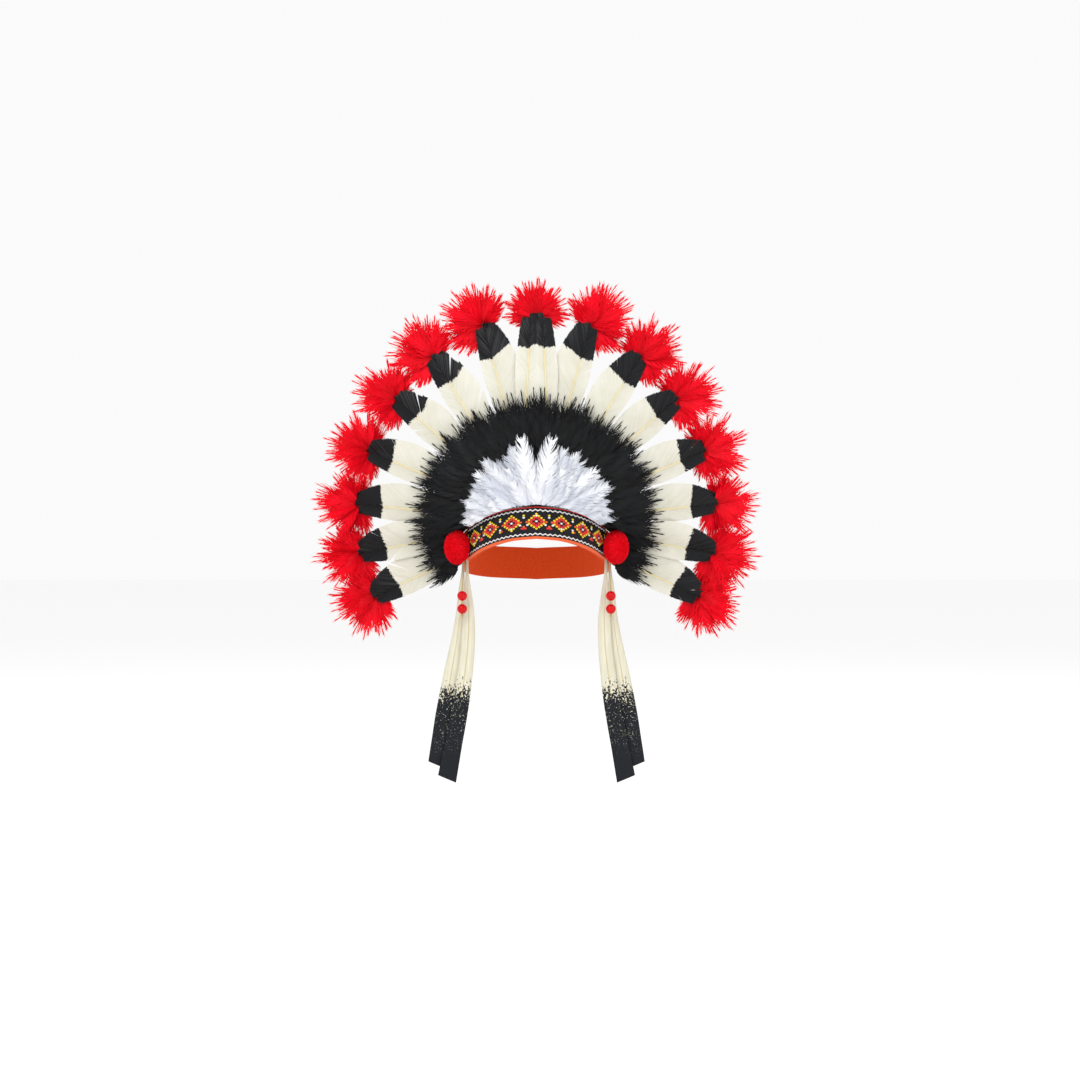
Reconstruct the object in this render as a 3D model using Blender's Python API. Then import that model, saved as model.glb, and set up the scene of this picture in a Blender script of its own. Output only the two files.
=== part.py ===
"""Feathered headdress, modelled as worn: metres, +Z up, the wearer faces -Y.

A felt band goes round the head and carries a woven trim on the forehead. A felt panel stands on the
band and spreads into a fan of goose feathers, each tipped with a fluffy tuft. A black plume and a
white plume cover the feathers' roots. At each temple hang two ribbons and a thread with two beads,
under a pompom.

The origin is the centre of the head opening, at the height of the band's middle above the ears.
"""

import math
import random

import bmesh
import bpy
from mathutils import Matrix, Vector

# Head opening and felt band
HEAD_HALF_WIDTH = 0.076
HEAD_HALF_DEPTH = 0.095
FELT_WALL = 0.002
FELT_HEIGHT = 0.0335
BAND_FRONT_HEIGHT = 0.035
BAND_DROP = 0.050
BAND_SEGMENTS = 60
SEAT_GAP = 0.0003

# Drop of the band's middle below its forehead height: (degrees round from the forehead, share of BAND_DROP)
BAND_DROPS = ((0, 0.0), (20, 0.06), (40, 0.22), (60, 0.45), (90, 0.70), (135, 0.92), (180, 1.0))

# Woven trim over the forehead
TRIM_WALL = 0.0018
TRIM_HEIGHT = 0.0310
TRIM_HALF_ANGLE = math.radians(62.5)
TRIM_SEGMENTS = 40

# Fan surface, measured about a centre on the forehead as seen from the front
FAN_CENTRE_HEIGHT = 0.036
FAN_TIP_RADIUS_TOP = 0.213
FAN_TIP_RADIUS_SIDE = 0.190
FAN_TIP_DEPTH_TOP = -0.047
FAN_TIP_DEPTH_SIDE = 0.008
FAN_LEG_RING_ANGLE = math.radians(80)
FOOT_BESIDE_ANGLE = math.radians(40)
TIP_BACK_ANGLE = math.radians(100)
PANEL_WALL = 0.0025
PANEL_RADIUS = 0.108
PANEL_HALF_ANGLE = math.radians(121)
PANEL_RING_STEP = math.radians(6)
PANEL_FAN_STEP = math.radians(9)
PANEL_LEAST_STEP = math.radians(0.8)

# Goose feathers: (fan angle in degrees, lean of the tuft away from the feather in degrees), top to ear
FEATHER_PLACES = ((15.3, 42), (32.6, 29), (49.4, 20), (68.0, 8), (85.4, 14), (101.2, 13), (115.8, 5))
FEATHER_ROOT_RADIUS = 0.088
FEATHER_WALL = 0.0009
FEATHER_WIDE_SIDE = 0.0255
FEATHER_NARROW_SIDE = 0.0130
FEATHER_CAMBER = 0.0015
FEATHER_LIFTS = (0.0036, 0.0072)
ROOT_GAP = 0.0006
CENTRE_FEATHER_SHIFT = 0.0120
CENTRE_NARROW_SIDE = 0.0124
CENTRE_CONVERGENCE = 0.5
PAIR_MEETS_FROM = 0.4
SHAFT_RISE = 0.0006
SHAFT_HALF_WIDTH = 0.0009
NOTCH_DEPTH = 0.0035

# Lanes across a vane, as shares of each half's width: the middle three are the shaft's edges and ridge
VANE_LANES = (-1.0, -0.55, 0.0, 0.0, 0.0, 0.55, 1.0)

# Feather outline: (share of the length, share of the wide side, share of the narrow side)
FEATHER_OUTLINE = (
    (0.00, 0.08, 0.16),
    (0.12, 0.16, 0.26),
    (0.22, 0.46, 0.50),
    (0.34, 0.80, 0.76),
    (0.55, 1.00, 1.00),
    (0.78, 0.86, 0.92),
    (0.94, 0.60, 0.74),
    (1.00, 0.44, 0.54),
)

# Tufts on the feathers' tips
TUFT_HEAD_RADIUS = 0.011
TUFT_HEAD_DEPTH = 0.0075
TUFT_HEAD_BEYOND = 0.0018
TUFT_REACH = 0.050
TUFT_BACK_REACH = 0.026
TUFT_FLATNESS = 0.6
TUFT_SHORTEST_LOCK = 0.86
TUFT_LAST_WEDGE = 1.6
TUFT_WEDGE_MARGIN = math.radians(0.3)
TRIM_STEP = 0.95
TRIM_STEPS = 30

# A tuft's face bears no lock where it looks less outwards, and less backwards, than these shares
TUFT_VANE_OUT = 0.3
TUFT_VANE_BACK = -0.35

# Plumes: strips of locks, each on a thin backing
BLACK_HALF_ANGLE = math.radians(120)
BLACK_INNER_RADIUS = 0.062
BLACK_OUTER_RADIUS = 0.106
BLACK_LOCK_RADIUS = 0.134
BLACK_GAP = 0.0009
BLACK_COLUMNS = 34
WHITE_COLUMNS = 24
WHITE_HALF_ANGLE = BLACK_HALF_ANGLE * WHITE_COLUMNS / BLACK_COLUMNS
WHITE_OUTER_RADIUS = 0.062
WHITE_LOCK_RADIUS = 0.086
BACKING_WALL = 0.0015
BACKING_EDGE = 0.0020
BLACK_LOCK_SLOPE = 0.24
WHITE_LOCK_SLOPE = 0.32
LOCK_INNER_SLOPE = 0.3
BLACK_LEAST_SHARE = 0.2
WHITE_LEAST_WIDTH = 0.008
LOCK_ROWS = 3
LOCK_LENGTHS = (0.82, 1.0, 0.9, 0.96, 0.86)
LOCK_ROW_GAIN = 0.25
LOCK_MIDDLE = 0.55
LOCK_TAPER = 0.8

# A lock that would meet a pompom is shortened and laid flatter, by these shares a step
PRESS_STEPS = 8
PRESSED_LENGTH = 0.85
PRESSED_SLOPE = 0.65

# Pompoms at the temples
POMPOM_RING_ANGLE = math.radians(61.5)
POMPOM_RADIUS = 0.0182
POMPOM_DROP = 0.0038
POMPOM_ROOM = 0.0028
POMPOM_HALF_DEPTH = 0.0125
POMPOM_PILE = 0.0026

# Ribbons that hang from the temples
RIBBON_WALL = 0.0009
RIBBON_HALF_WIDTH = 0.0093
RIBBON_END_SLANT = 0.42
RIBBON_FOLD = 0.0008
OUTER_RIBBON_LENGTH = 0.226
OUTER_RIBBON_SWING = 0.028
OUTER_RIBBON_RING_ANGLE = math.radians(72.5)
INNER_RIBBON_LENGTH = 0.243
INNER_RIBBON_SWING = 0.021
INNER_RIBBON_RING_ANGLE = math.radians(66)
OUTER_RIBBON_DEPTH = -0.0330
INNER_RIBBON_DEPTH = -0.0360

# Ribbon sections: (share of the length, share of the swing, share of the half width, share of the twist)
OUTER_RIBBON_SECTIONS = (
    (0.00, 0.00, 0.34, 1.00),
    (0.10, 0.04, 0.32, 0.85),
    (0.20, 0.10, 0.40, 0.35),
    (0.30, 0.15, 0.46, 0.08),
    (0.42, 0.27, 0.62, 0.00),
    (0.58, 0.48, 0.86, 0.00),
    (0.78, 0.76, 0.97, 0.00),
    (1.00, 1.00, 1.00, 0.00),
)
INNER_RIBBON_SECTIONS = (
    (0.00, 0.00, 0.34, 1.00),
    (0.12, 0.00, 0.30, 0.80),
    (0.22, -0.04, 0.50, 0.30),
    (0.32, -0.08, 0.68, 0.05),
    (0.42, -0.04, 0.76, 0.00),
    (0.52, 0.07, 0.84, 0.00),
    (0.70, 0.36, 0.95, 0.00),
    (1.00, 1.00, 1.00, 0.00),
)

# Threads and beads
THREAD_RADIUS = 0.0006
THREAD_RING_ANGLE = math.radians(69.5)
THREAD_TOP_HEIGHT = 0.004
BEAD_RADIUS = 0.0052
BEAD_HOLE_RADIUS = 0.0010
BEAD_HEIGHTS = (-0.0425, -0.0560)
BEAD_LINE_X = 0.0768
BEAD_LINE_DEPTH = -0.0480
BEAD_ARC_STEPS = 6
BEAD_SIDES = 12
KNOT_RADIUS = 0.0017


def smooth_value(table, at, column=1):
    """The table's column at a place along its first column, on a smooth curve through its rows."""
    places = [row[0] for row in table]
    values = [row[column] for row in table]
    at = min(max(at, places[0]), places[-1])
    last = len(places) - 1
    i = min(max(k for k in range(len(places)) if places[k] <= at), last - 1)

    def slope(k):
        low, high = max(k - 1, 0), min(k + 1, last)
        return (values[high] - values[low]) / (places[high] - places[low])

    width = places[i + 1] - places[i]
    s = (at - places[i]) / width
    return (
        (2 * s**3 - 3 * s**2 + 1) * values[i]
        + (s**3 - 2 * s**2 + s) * width * slope(i)
        + (3 * s**2 - 2 * s**3) * values[i + 1]
        + (s**3 - s**2) * width * slope(i + 1)
    )


def smooth_step(share):
    share = min(max(share, 0.0), 1.0)
    return share * share * (3 - 2 * share)


def band_height(angle):
    """Height of the band's middle at an angle round the head, 0 at the forehead."""
    degrees = abs(math.degrees(angle))
    return BAND_FRONT_HEIGHT - BAND_DROP * smooth_value(BAND_DROPS, degrees)


def ring_point(angle, outward, above):
    """A point round the head: outward from the head's surface, above the band's middle."""
    return Vector((
        (HEAD_HALF_WIDTH + outward) * math.sin(angle),
        -(HEAD_HALF_DEPTH + outward) * math.cos(angle),
        band_height(angle) + above,
    ))


def ring_normal(angle):
    """Level direction that points out of the band."""
    return Vector((
        math.sin(angle) / HEAD_HALF_WIDTH, -math.cos(angle) / HEAD_HALF_DEPTH, 0.0
    )).normalized()


def fan_foot_at_ring(angle):
    """The fan's inner edge at a ring angle: on top of the felt in front, beside it at the ears."""
    beside = FELT_WALL + SEAT_GAP + PANEL_WALL / 2
    outward = FELT_WALL / 2 + (beside - FELT_WALL / 2) * smooth_step(abs(angle) / FOOT_BESIDE_ANGLE)
    return ring_point(angle, outward, FELT_HEIGHT / 2 + SEAT_GAP)


def fan_angle_of(point):
    """Angle of a point about the fan's centre, seen from the front, 0 straight up."""
    return math.atan2(point.x, point.z - FAN_CENTRE_HEIGHT)


def fan_foot(angle):
    """(radius, depth) of the fan's inner edge at a fan angle."""
    angle = abs(angle)
    leg = fan_foot_at_ring(FAN_LEG_RING_ANGLE)
    if angle >= fan_angle_of(leg):
        return leg.x / math.sin(angle), leg.y
    low, high = 0.0, FAN_LEG_RING_ANGLE
    for _ in range(40):
        middle = (low + high) / 2
        if fan_angle_of(fan_foot_at_ring(middle)) < angle:
            low = middle
        else:
            high = middle
    foot = fan_foot_at_ring(low)
    return math.hypot(foot.x, foot.z - FAN_CENTRE_HEIGHT), foot.y


def tip_radius(angle):
    rise = max(math.cos(angle), 0.0) ** 4
    return FAN_TIP_RADIUS_SIDE + (FAN_TIP_RADIUS_TOP - FAN_TIP_RADIUS_SIDE) * rise


def tip_depth(angle):
    turned = smooth_step(abs(angle) / TIP_BACK_ANGLE)
    return FAN_TIP_DEPTH_TOP + (FAN_TIP_DEPTH_SIDE - FAN_TIP_DEPTH_TOP) * turned


def fan_depth(angle, radius):
    """Depth of the fan surface, straight along each ray from its foot to the feathers' tips."""
    foot_radius, foot_depth = fan_foot(angle)
    share = (radius - foot_radius) / (tip_radius(angle) - foot_radius)
    return foot_depth + (tip_depth(angle) - foot_depth) * share


def fan_steepness(angle, radius):
    """How much longer the way out of the fan's surface is along the depth than straight out of it."""
    step = math.radians(2)
    here = fan_depth(angle, radius)
    beside = [abs(fan_depth(angle + way * step, radius) - here) for way in (-1, 1)]
    return math.hypot(1, max(beside) / (step * radius))


def fan_point(angle, radius, lift):
    """A point in front of the fan surface by lift, in polar places about the fan's centre."""
    return Vector((
        radius * math.sin(angle),
        fan_depth(angle, radius) - lift,
        FAN_CENTRE_HEIGHT + radius * math.cos(angle),
    ))


def on_fan(x, z, lift):
    """The point in front of the fan surface by lift, at a place seen from the front."""
    radius = math.hypot(x, z - FAN_CENTRE_HEIGHT)
    return fan_point(math.atan2(x, z - FAN_CENTRE_HEIGHT), radius, lift)


def material(name, colour, roughness, metallic=0.0):
    made = bpy.data.materials.new(name)
    made.use_nodes = True
    shader = made.node_tree.nodes["Principled BSDF"]
    shader.inputs["Base Color"].default_value = (*colour, 1.0)
    shader.inputs["Roughness"].default_value = roughness
    shader.inputs["Metallic"].default_value = metallic
    return made


def add_object(name, bm, finish, smooth=True):
    """Makes the bmesh a named object with its material, under the headdress's empty."""
    mesh = bpy.data.meshes.new(name)
    bm.to_mesh(mesh)
    bm.free()
    mesh.materials.append(finish)
    if smooth:
        mesh.shade_smooth()
        mesh.set_sharp_from_angle(angle=math.radians(35))
    obj = bpy.data.objects.new(name, mesh)
    bpy.context.scene.collection.objects.link(obj)
    obj.parent = bpy.data.objects["headdress"]
    return obj


def thicken(obj, wall):
    """Gives a sheet its wall, half to each side."""
    modifier = obj.modifiers.new("Wall", "SOLIDIFY")
    modifier.thickness = wall
    modifier.offset = 0.0
    modifier.use_even_offset = True
    return obj


def mapped_grid(columns, rows, place):
    """A grid sheet whose point at (u, v), each from 0 to 1, is put at place(u, v)."""
    bm = bmesh.new()
    bmesh.ops.create_grid(bm, x_segments=columns, y_segments=rows, size=0.5)
    for vert in bm.verts:
        vert.co = place(vert.co.x + 0.5, vert.co.y + 0.5)
    return bm


def face_outwards(bm):
    """Turns a closed mesh's faces the same way round, and outwards."""
    bmesh.ops.recalc_face_normals(bm, faces=bm.faces[:])
    if bm.calc_volume(signed=True) < 0:
        bmesh.ops.reverse_faces(bm, faces=bm.faces[:])


def felt_band(finish):
    """Closed felt loop round the head: a hoop of edges raised into a wall."""
    bm = bmesh.new()
    hoop = bmesh.ops.create_circle(bm, segments=BAND_SEGMENTS, radius=1.0)["verts"]
    for vert in hoop:
        angle = math.atan2(vert.co.x, -vert.co.y)
        vert.co = ring_point(angle, FELT_WALL / 2, -FELT_HEIGHT / 2)
    raised = bmesh.ops.extrude_edge_only(bm, edges=bm.edges[:])["geom"]
    upper = [item for item in raised if isinstance(item, bmesh.types.BMVert)]
    bmesh.ops.translate(bm, verts=upper, vec=(0, 0, FELT_HEIGHT))
    return thicken(add_object("felt_band", bm, finish), FELT_WALL)


def woven_trim(finish):
    """Woven strip laid on the felt over the forehead, from temple to temple."""
    outward = FELT_WALL + SEAT_GAP + TRIM_WALL / 2

    def place(u, v):
        angle = (2 * u - 1) * TRIM_HALF_ANGLE
        return ring_point(angle, outward, (v - 0.5) * TRIM_HEIGHT)

    bm = mapped_grid(TRIM_SEGMENTS, 1, place)
    return thicken(add_object("woven_trim", bm, finish), TRIM_WALL)


def panel_stations():
    """Fan angles of the panel's columns: close together where its foot follows the band's curve."""
    count = math.ceil(FAN_LEG_RING_ANGLE / PANEL_RING_STEP)
    along_band = [
        fan_angle_of(fan_foot_at_ring(FAN_LEG_RING_ANGLE * k / count)) for k in range(1, count + 1)
    ]
    spread = [PANEL_FAN_STEP * k for k in range(1, int(PANEL_HALF_ANGLE / PANEL_FAN_STEP) + 1)]
    stations = [0.0]
    for angle in sorted(along_band + spread + [PANEL_HALF_ANGLE]):
        if angle - stations[-1] > PANEL_LEAST_STEP:
            stations.append(angle)
    stations[-1] = PANEL_HALF_ANGLE
    return [-angle for angle in reversed(stations[1:])] + stations


def fan_panel(finish):
    """Felt horseshoe that stands on the band and carries the feathers."""
    stations = panel_stations()

    def place(u, v):
        angle = stations[round(u * (len(stations) - 1))]
        foot_radius = fan_foot(angle)[0]
        return fan_point(angle, foot_radius + (PANEL_RADIUS - foot_radius) * v, 0.0)

    bm = mapped_grid(len(stations) - 1, 1, place)
    return thicken(add_object("fan_panel", bm, finish), PANEL_WALL)


def goose_feather(name, finish, angle, shift, wide, narrow, wide_side, lift):
    """One flat feather along a ray of the fan: a cambered vane with a raised shaft.

    wide_side is +1 or -1 for the side, seen from the front, that the wide half of the vane lies on.
    The two halves end apart, with a notch at the shaft. A feather of the middle pair is shifted
    sideways at its root, leans in towards its tip, and meets its twin along the middle.
    """
    length = tip_radius(angle) - FEATHER_ROOT_RADIUS
    along = Vector((math.sin(angle), 0, math.cos(angle)))
    across = Vector((math.cos(angle), 0, -math.sin(angle)))
    places = [row[0] for row in FEATHER_OUTLINE]
    lanes = VANE_LANES
    seated = (PANEL_WALL / 2 + ROOT_GAP + FEATHER_WALL / 2) * fan_steepness(angle, FEATHER_ROOT_RADIUS)

    def place(u, v):
        lane = round(u * (len(lanes) - 1))
        row = round(v * (len(places) - 1))
        side = wide_side if lanes[lane] > 0 else -wide_side
        column = 1 if lanes[lane] > 0 else 2
        lean = 1 - CENTRE_CONVERGENCE * places[row] if shift else 1.0
        reach = (wide if column == 1 else narrow) * FEATHER_OUTLINE[row][column]
        if shift and column == 1 and FEATHER_OUTLINE[row][column] > PAIR_MEETS_FROM:
            reach = abs(shift) * lean - SEAT_GAP
        reach = max(reach, 2 * SHAFT_HALF_WIDTH)
        middle = len(lanes) // 2
        if abs(lane - middle) <= 1:
            offset = wide_side * (lane - middle) * SHAFT_HALF_WIDTH
            bow = FEATHER_CAMBER + (SHAFT_RISE if lane == middle else 0.0)
        else:
            offset = side * abs(lanes[lane]) * reach
            bow = FEATHER_CAMBER * (1 - lanes[lane] ** 2)
        radius = FEATHER_ROOT_RADIUS + length * places[row]
        if row == len(places) - 1 and lane <= middle:
            radius -= NOTCH_DEPTH
        place_seen = along * radius + across * (shift * lean + offset)
        risen = smooth_step((radius - FEATHER_ROOT_RADIUS) / (PANEL_RADIUS - FEATHER_ROOT_RADIUS))
        in_front = seated + (lift + bow - seated) * risen
        return on_fan(place_seen.x, FAN_CENTRE_HEIGHT + place_seen.z, in_front)

    bm = mapped_grid(len(lanes) - 1, len(places) - 1, place)
    return thicken(add_object(name, bm, finish), FEATHER_WALL)


def tuft(name, finish, angle, lean, wedge, lift, seed):
    """Burst of locks on a small head, seated behind the feather's tip.

    lean turns the burst in the fan's plane, and wedge is the pair of fan angles it stays between.
    """
    draw = random.Random(seed)
    radius = tip_radius(angle)
    tip = fan_point(angle, radius, lift)
    behind = FEATHER_WALL / 2 + SEAT_GAP + TUFT_HEAD_DEPTH
    axis = (fan_point(angle, radius + TUFT_HEAD_BEYOND, lift) - tip).normalized()
    front = (Vector((0, -1, 0)) - axis * axis.dot(Vector((0, -1, 0)))).normalized()
    side = axis.cross(front) * -1
    turn = Matrix.Rotation(lean, 3, front) @ axis
    centre = tip + axis * TUFT_HEAD_BEYOND - front * behind
    bm = bmesh.new()
    bmesh.ops.create_icosphere(bm, subdivisions=2, radius=1.0)
    faces = [(face, face.calc_center_median().normalized()) for face in bm.faces]
    for vert in bm.verts:
        d = vert.co.copy()
        vert.co = (
            centre
            + (side * d.x + axis * d.y) * TUFT_HEAD_RADIUS
            + front * d.z * TUFT_HEAD_DEPTH
        )
    for face, d in faces:
        unevenness = draw.uniform(TUFT_SHORTEST_LOCK, 1.0)
        if d.y < TUFT_VANE_OUT and d.z > TUFT_VANE_BACK:
            continue
        way = side * d.x + axis * d.y + front * d.z
        head = Vector((d.x * TUFT_HEAD_RADIUS, d.y * TUFT_HEAD_RADIUS, d.z * TUFT_HEAD_DEPTH))
        reach = TUFT_BACK_REACH + (TUFT_REACH - TUFT_BACK_REACH) * smooth_step((way.dot(turn) + 1) / 2)
        reach *= unevenness * (1 - (1 - TUFT_FLATNESS) * abs(d.z))
        for _ in range(TRIM_STEPS):
            point = centre + way * reach
            if wedge[0] < fan_angle_of(point) < wedge[1] or reach < head.length:
                break
            reach *= TRIM_STEP
        poked = bmesh.ops.poke(bm, faces=[face])["verts"][0]
        poked.co = centre + way * reach
    face_outwards(bm)
    return add_object(name, bm, finish, smooth=False)


def plume(name, finish, half_angle, columns, radii, lock_radius, lock_slope, lift_at):
    """Rows of overlapping locks on a thin backing that follows the fan's inner edge.

    radii(angle) gives the backing's inner and outer radius, and lift_at(angle, radius) its back's lift.
    """

    def place(u, v):
        angle = (2 * u - 1) * half_angle
        inner, outer = radii(angle)
        radius = inner + (outer - inner) * v
        return fan_point(angle, radius, lift_at(angle, radius))

    bm = mapped_grid(columns, LOCK_ROWS, place)
    raised = bmesh.ops.extrude_face_region(bm, geom=bm.faces[:], use_keep_orig=True)["geom"]
    front_verts = [item for item in raised if isinstance(item, bmesh.types.BMVert)]
    front_faces = [item for item in raised if isinstance(item, bmesh.types.BMFace)]
    bmesh.ops.translate(bm, verts=front_verts, vec=(0, -BACKING_WALL, 0))
    face_outwards(bm)
    for number, face in enumerate(front_faces):
        add_lock(bm, face, number, radii, lock_radius, lock_slope)
    face_outwards(bm)
    return add_object(name, bm, finish, smooth=False)


def add_lock(bm, face, number, radii, lock_radius, lock_slope):
    """Draws one pointed lock out of a face of the backing, outwards and a little forwards.

    The inner rows stand steeper, so that they clear the rows beyond, which the backing lifts.
    """
    start = face.calc_center_median()
    angle = fan_angle_of(start)
    radius = math.hypot(start.x, start.z - FAN_CENTRE_HEIGHT)
    inner, outer = radii(angle)
    row_share = (radius - inner) / (outer - inner)
    length = (lock_radius - outer) * (1.0 + LOCK_ROW_GAIN * row_share)
    length *= LOCK_LENGTHS[number % len(LOCK_LENGTHS)]
    slope = lock_slope + LOCK_INNER_SLOPE * (1 - row_share)

    def along_lock(share):
        """Way from the lock's root to a share of its length."""
        raised = slope * length * share
        return fan_point(angle, radius + length * share, raised) - fan_point(angle, radius, 0.0)

    for _ in range(PRESS_STEPS):
        if not in_pompom(start + along_lock(1.0)) and not in_pompom(start + along_lock(LOCK_MIDDLE)):
            break
        length *= PRESSED_LENGTH
        slope *= PRESSED_SLOPE
    drawn = bmesh.ops.extrude_discrete_faces(bm, faces=[face])["faces"][0]
    middle = along_lock(LOCK_MIDDLE)
    for vert in drawn.verts:
        vert.co = start + (vert.co - start) * LOCK_TAPER + middle
    tip = bmesh.ops.poke(bm, faces=[drawn])["verts"][0]
    tip.co = start + along_lock(1.0)


def black_radii(angle):
    """The black backing's edges: its inner one keeps out of the pompom."""
    inner = max(fan_foot(angle)[0] + BACKING_EDGE, BLACK_INNER_RADIUS)
    least_width = (BLACK_OUTER_RADIUS - BLACK_INNER_RADIUS) * BLACK_LEAST_SHARE
    while inner < BLACK_OUTER_RADIUS - least_width:
        front = fan_point(angle, inner, black_lift(angle, inner) + BACKING_WALL + SEAT_GAP)
        if not in_pompom(front):
            break
        inner += BACKING_EDGE / 2
    return inner, BLACK_OUTER_RADIUS


def white_radii(angle):
    inner = fan_foot(angle)[0] + BACKING_EDGE
    return inner, max(WHITE_OUTER_RADIUS, inner + WHITE_LEAST_WIDTH)


def black_lift(angle, radius):
    """Lift of the black backing: on the panel inside, over the feathers' shafts outside."""
    seated = (PANEL_WALL / 2 + ROOT_GAP) * fan_steepness(angle, radius)
    over_shafts = FEATHER_LIFTS[1] + FEATHER_CAMBER + SHAFT_RISE + FEATHER_WALL / 2 + BLACK_GAP
    rise = smooth_step((radius - WHITE_OUTER_RADIUS) / (FEATHER_ROOT_RADIUS - WHITE_OUTER_RADIUS))
    return seated + (over_shafts - seated) * rise


def white_lift(angle, radius):
    return black_lift(angle, radius + BACKING_EDGE) + BACKING_WALL + 2 * SEAT_GAP


def pompom_frame(side):
    """(centre, direction out of the band, direction along the band) of a pompom."""
    angle = side * POMPOM_RING_ANGLE
    normal = ring_normal(angle)
    seat = ring_point(angle, FELT_WALL + SEAT_GAP + TRIM_WALL + SEAT_GAP, -POMPOM_DROP)
    return seat + normal * POMPOM_HALF_DEPTH, normal, Vector((0, 0, 1)).cross(normal)


def in_pompom(point):
    """Whether a point lies in the room that a pompom takes."""
    centre, normal, along = pompom_frame(1 if point.x > 0 else -1)
    off = point - centre
    room = POMPOM_RADIUS + POMPOM_ROOM
    depth = POMPOM_HALF_DEPTH + POMPOM_ROOM
    return math.hypot(off.dot(normal) / depth, off.dot(along) / room, off.z / room) < 1


def pompom(name, finish, side):
    """Clipped wool ball, flattened where it is sewn to the band."""
    up = Vector((0, 0, 1))
    centre, normal, along = pompom_frame(side)
    bm = bmesh.new()
    bmesh.ops.create_icosphere(bm, subdivisions=2, radius=1.0)
    for face in bm.faces[:]:
        way = face.calc_center_median().normalized()
        tip = bmesh.ops.poke(bm, faces=[face])["verts"][0]
        tip.co = way * POMPOM_RADIUS / (POMPOM_RADIUS - POMPOM_PILE)
    base = 1 - POMPOM_PILE / POMPOM_RADIUS
    for vert in bm.verts:
        d = vert.co * base
        vert.co = centre + (along * d.x + up * d.y) * POMPOM_RADIUS + normal * d.z * POMPOM_HALF_DEPTH
    face_outwards(bm)
    return add_object(name, bm, finish, smooth=False)


def ribbon(name, finish, side, sections, length, swing, ring_angle, end_depth):
    """Long narrow strip: flat on the band under the pompom, turned to the front below it."""
    places = [row[0] for row in sections]
    outward = FELT_WALL + SEAT_GAP + RIBBON_WALL / 2
    top = ring_point(ring_angle, outward, 0.0)
    normal_angle = math.atan2(ring_normal(ring_angle).x, -ring_normal(ring_angle).y)
    rows = 2 * (len(places) - 1)

    def place(u, v):
        share = v
        shift = smooth_value(sections, share, 1) * swing
        reach = smooth_value(sections, share, 2) * RIBBON_HALF_WIDTH
        turn = smooth_value(sections, share, 3) * normal_angle
        lane = 2 * u - 1
        depth = top.y + (end_depth - top.y) * smooth_step(share * 2)
        across = Vector((math.cos(turn), math.sin(turn), 0))
        facing = Vector((math.sin(turn), -math.cos(turn), 0))
        point = Vector((top.x + shift, depth, top.z - length * share))
        point += across * lane * reach - facing * RIBBON_FOLD * abs(lane) * smooth_step(share * 3)
        point.z += RIBBON_END_SLANT * lane * reach * smooth_step(share * 6 - 5)
        point.x *= side
        return point

    bm = mapped_grid(2, rows, place)
    return thicken(add_object(name, bm, finish), RIBBON_WALL)


def bead_line(side):
    """The thread's line: from the band behind the pompom, forwards, then straight down."""
    top = ring_point(THREAD_RING_ANGLE, FELT_WALL + SEAT_GAP + THREAD_RADIUS, 0.0)
    end = BEAD_HEIGHTS[-1] - BEAD_RADIUS - SEAT_GAP
    straight = BEAD_HEIGHTS[0] + BEAD_RADIUS + SEAT_GAP
    points = [
        (Vector((top.x, top.y, THREAD_TOP_HEIGHT)), THREAD_RADIUS),
        (Vector((BEAD_LINE_X, BEAD_LINE_DEPTH, straight)), THREAD_RADIUS),
        (Vector((BEAD_LINE_X, BEAD_LINE_DEPTH, end)), THREAD_RADIUS),
        (Vector((BEAD_LINE_X, BEAD_LINE_DEPTH, end - KNOT_RADIUS)), KNOT_RADIUS),
        (Vector((BEAD_LINE_X, BEAD_LINE_DEPTH, end - 2 * KNOT_RADIUS)), THREAD_RADIUS),
    ]
    return [(Vector((side * point.x, point.y, point.z)), radius) for point, radius in points]


def bead_thread(name, finish, side):
    """Thread with a knot at its end, as a bevelled curve."""
    curve = bpy.data.curves.new(name, "CURVE")
    curve.dimensions = "3D"
    curve.bevel_depth = THREAD_RADIUS
    curve.bevel_resolution = 1
    curve.use_fill_caps = True
    points = bead_line(side)
    spline = curve.splines.new("POLY")
    spline.points.add(len(points) - 1)
    for spline_point, (place, radius) in zip(spline.points, points):
        spline_point.co = (*place, 1.0)
        spline_point.radius = radius / THREAD_RADIUS
    curve.materials.append(finish)
    obj = bpy.data.objects.new(name, curve)
    bpy.context.scene.collection.objects.link(obj)
    obj.parent = bpy.data.objects["headdress"]
    return obj


def bead(name, finish, side, height):
    """Drilled round bead: a ring profile spun about the thread."""
    bm = bmesh.new()
    half_hole = math.sqrt(BEAD_RADIUS**2 - BEAD_HOLE_RADIUS**2)
    first = math.asin(half_hole / BEAD_RADIUS)
    turns = [first - 2 * first * k / BEAD_ARC_STEPS for k in range(BEAD_ARC_STEPS + 1)]
    profile = [Vector((BEAD_RADIUS * math.cos(t), 0, BEAD_RADIUS * math.sin(t))) for t in turns]
    verts = [bm.verts.new(point) for point in profile]
    for a, b in zip(verts, verts[1:] + verts[:1]):
        bm.edges.new((a, b))
    bmesh.ops.spin(
        bm, geom=bm.verts[:] + bm.edges[:], cent=(0, 0, 0), axis=(0, 0, 1),
        angle=2 * math.pi, steps=BEAD_SIDES, use_merge=True,
    )
    bmesh.ops.remove_doubles(bm, verts=bm.verts[:], dist=BEAD_HOLE_RADIUS * 0.01)
    face_outwards(bm)
    obj = add_object(name, bm, finish)
    obj.location = (side * BEAD_LINE_X, BEAD_LINE_DEPTH, height)
    return obj


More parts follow.
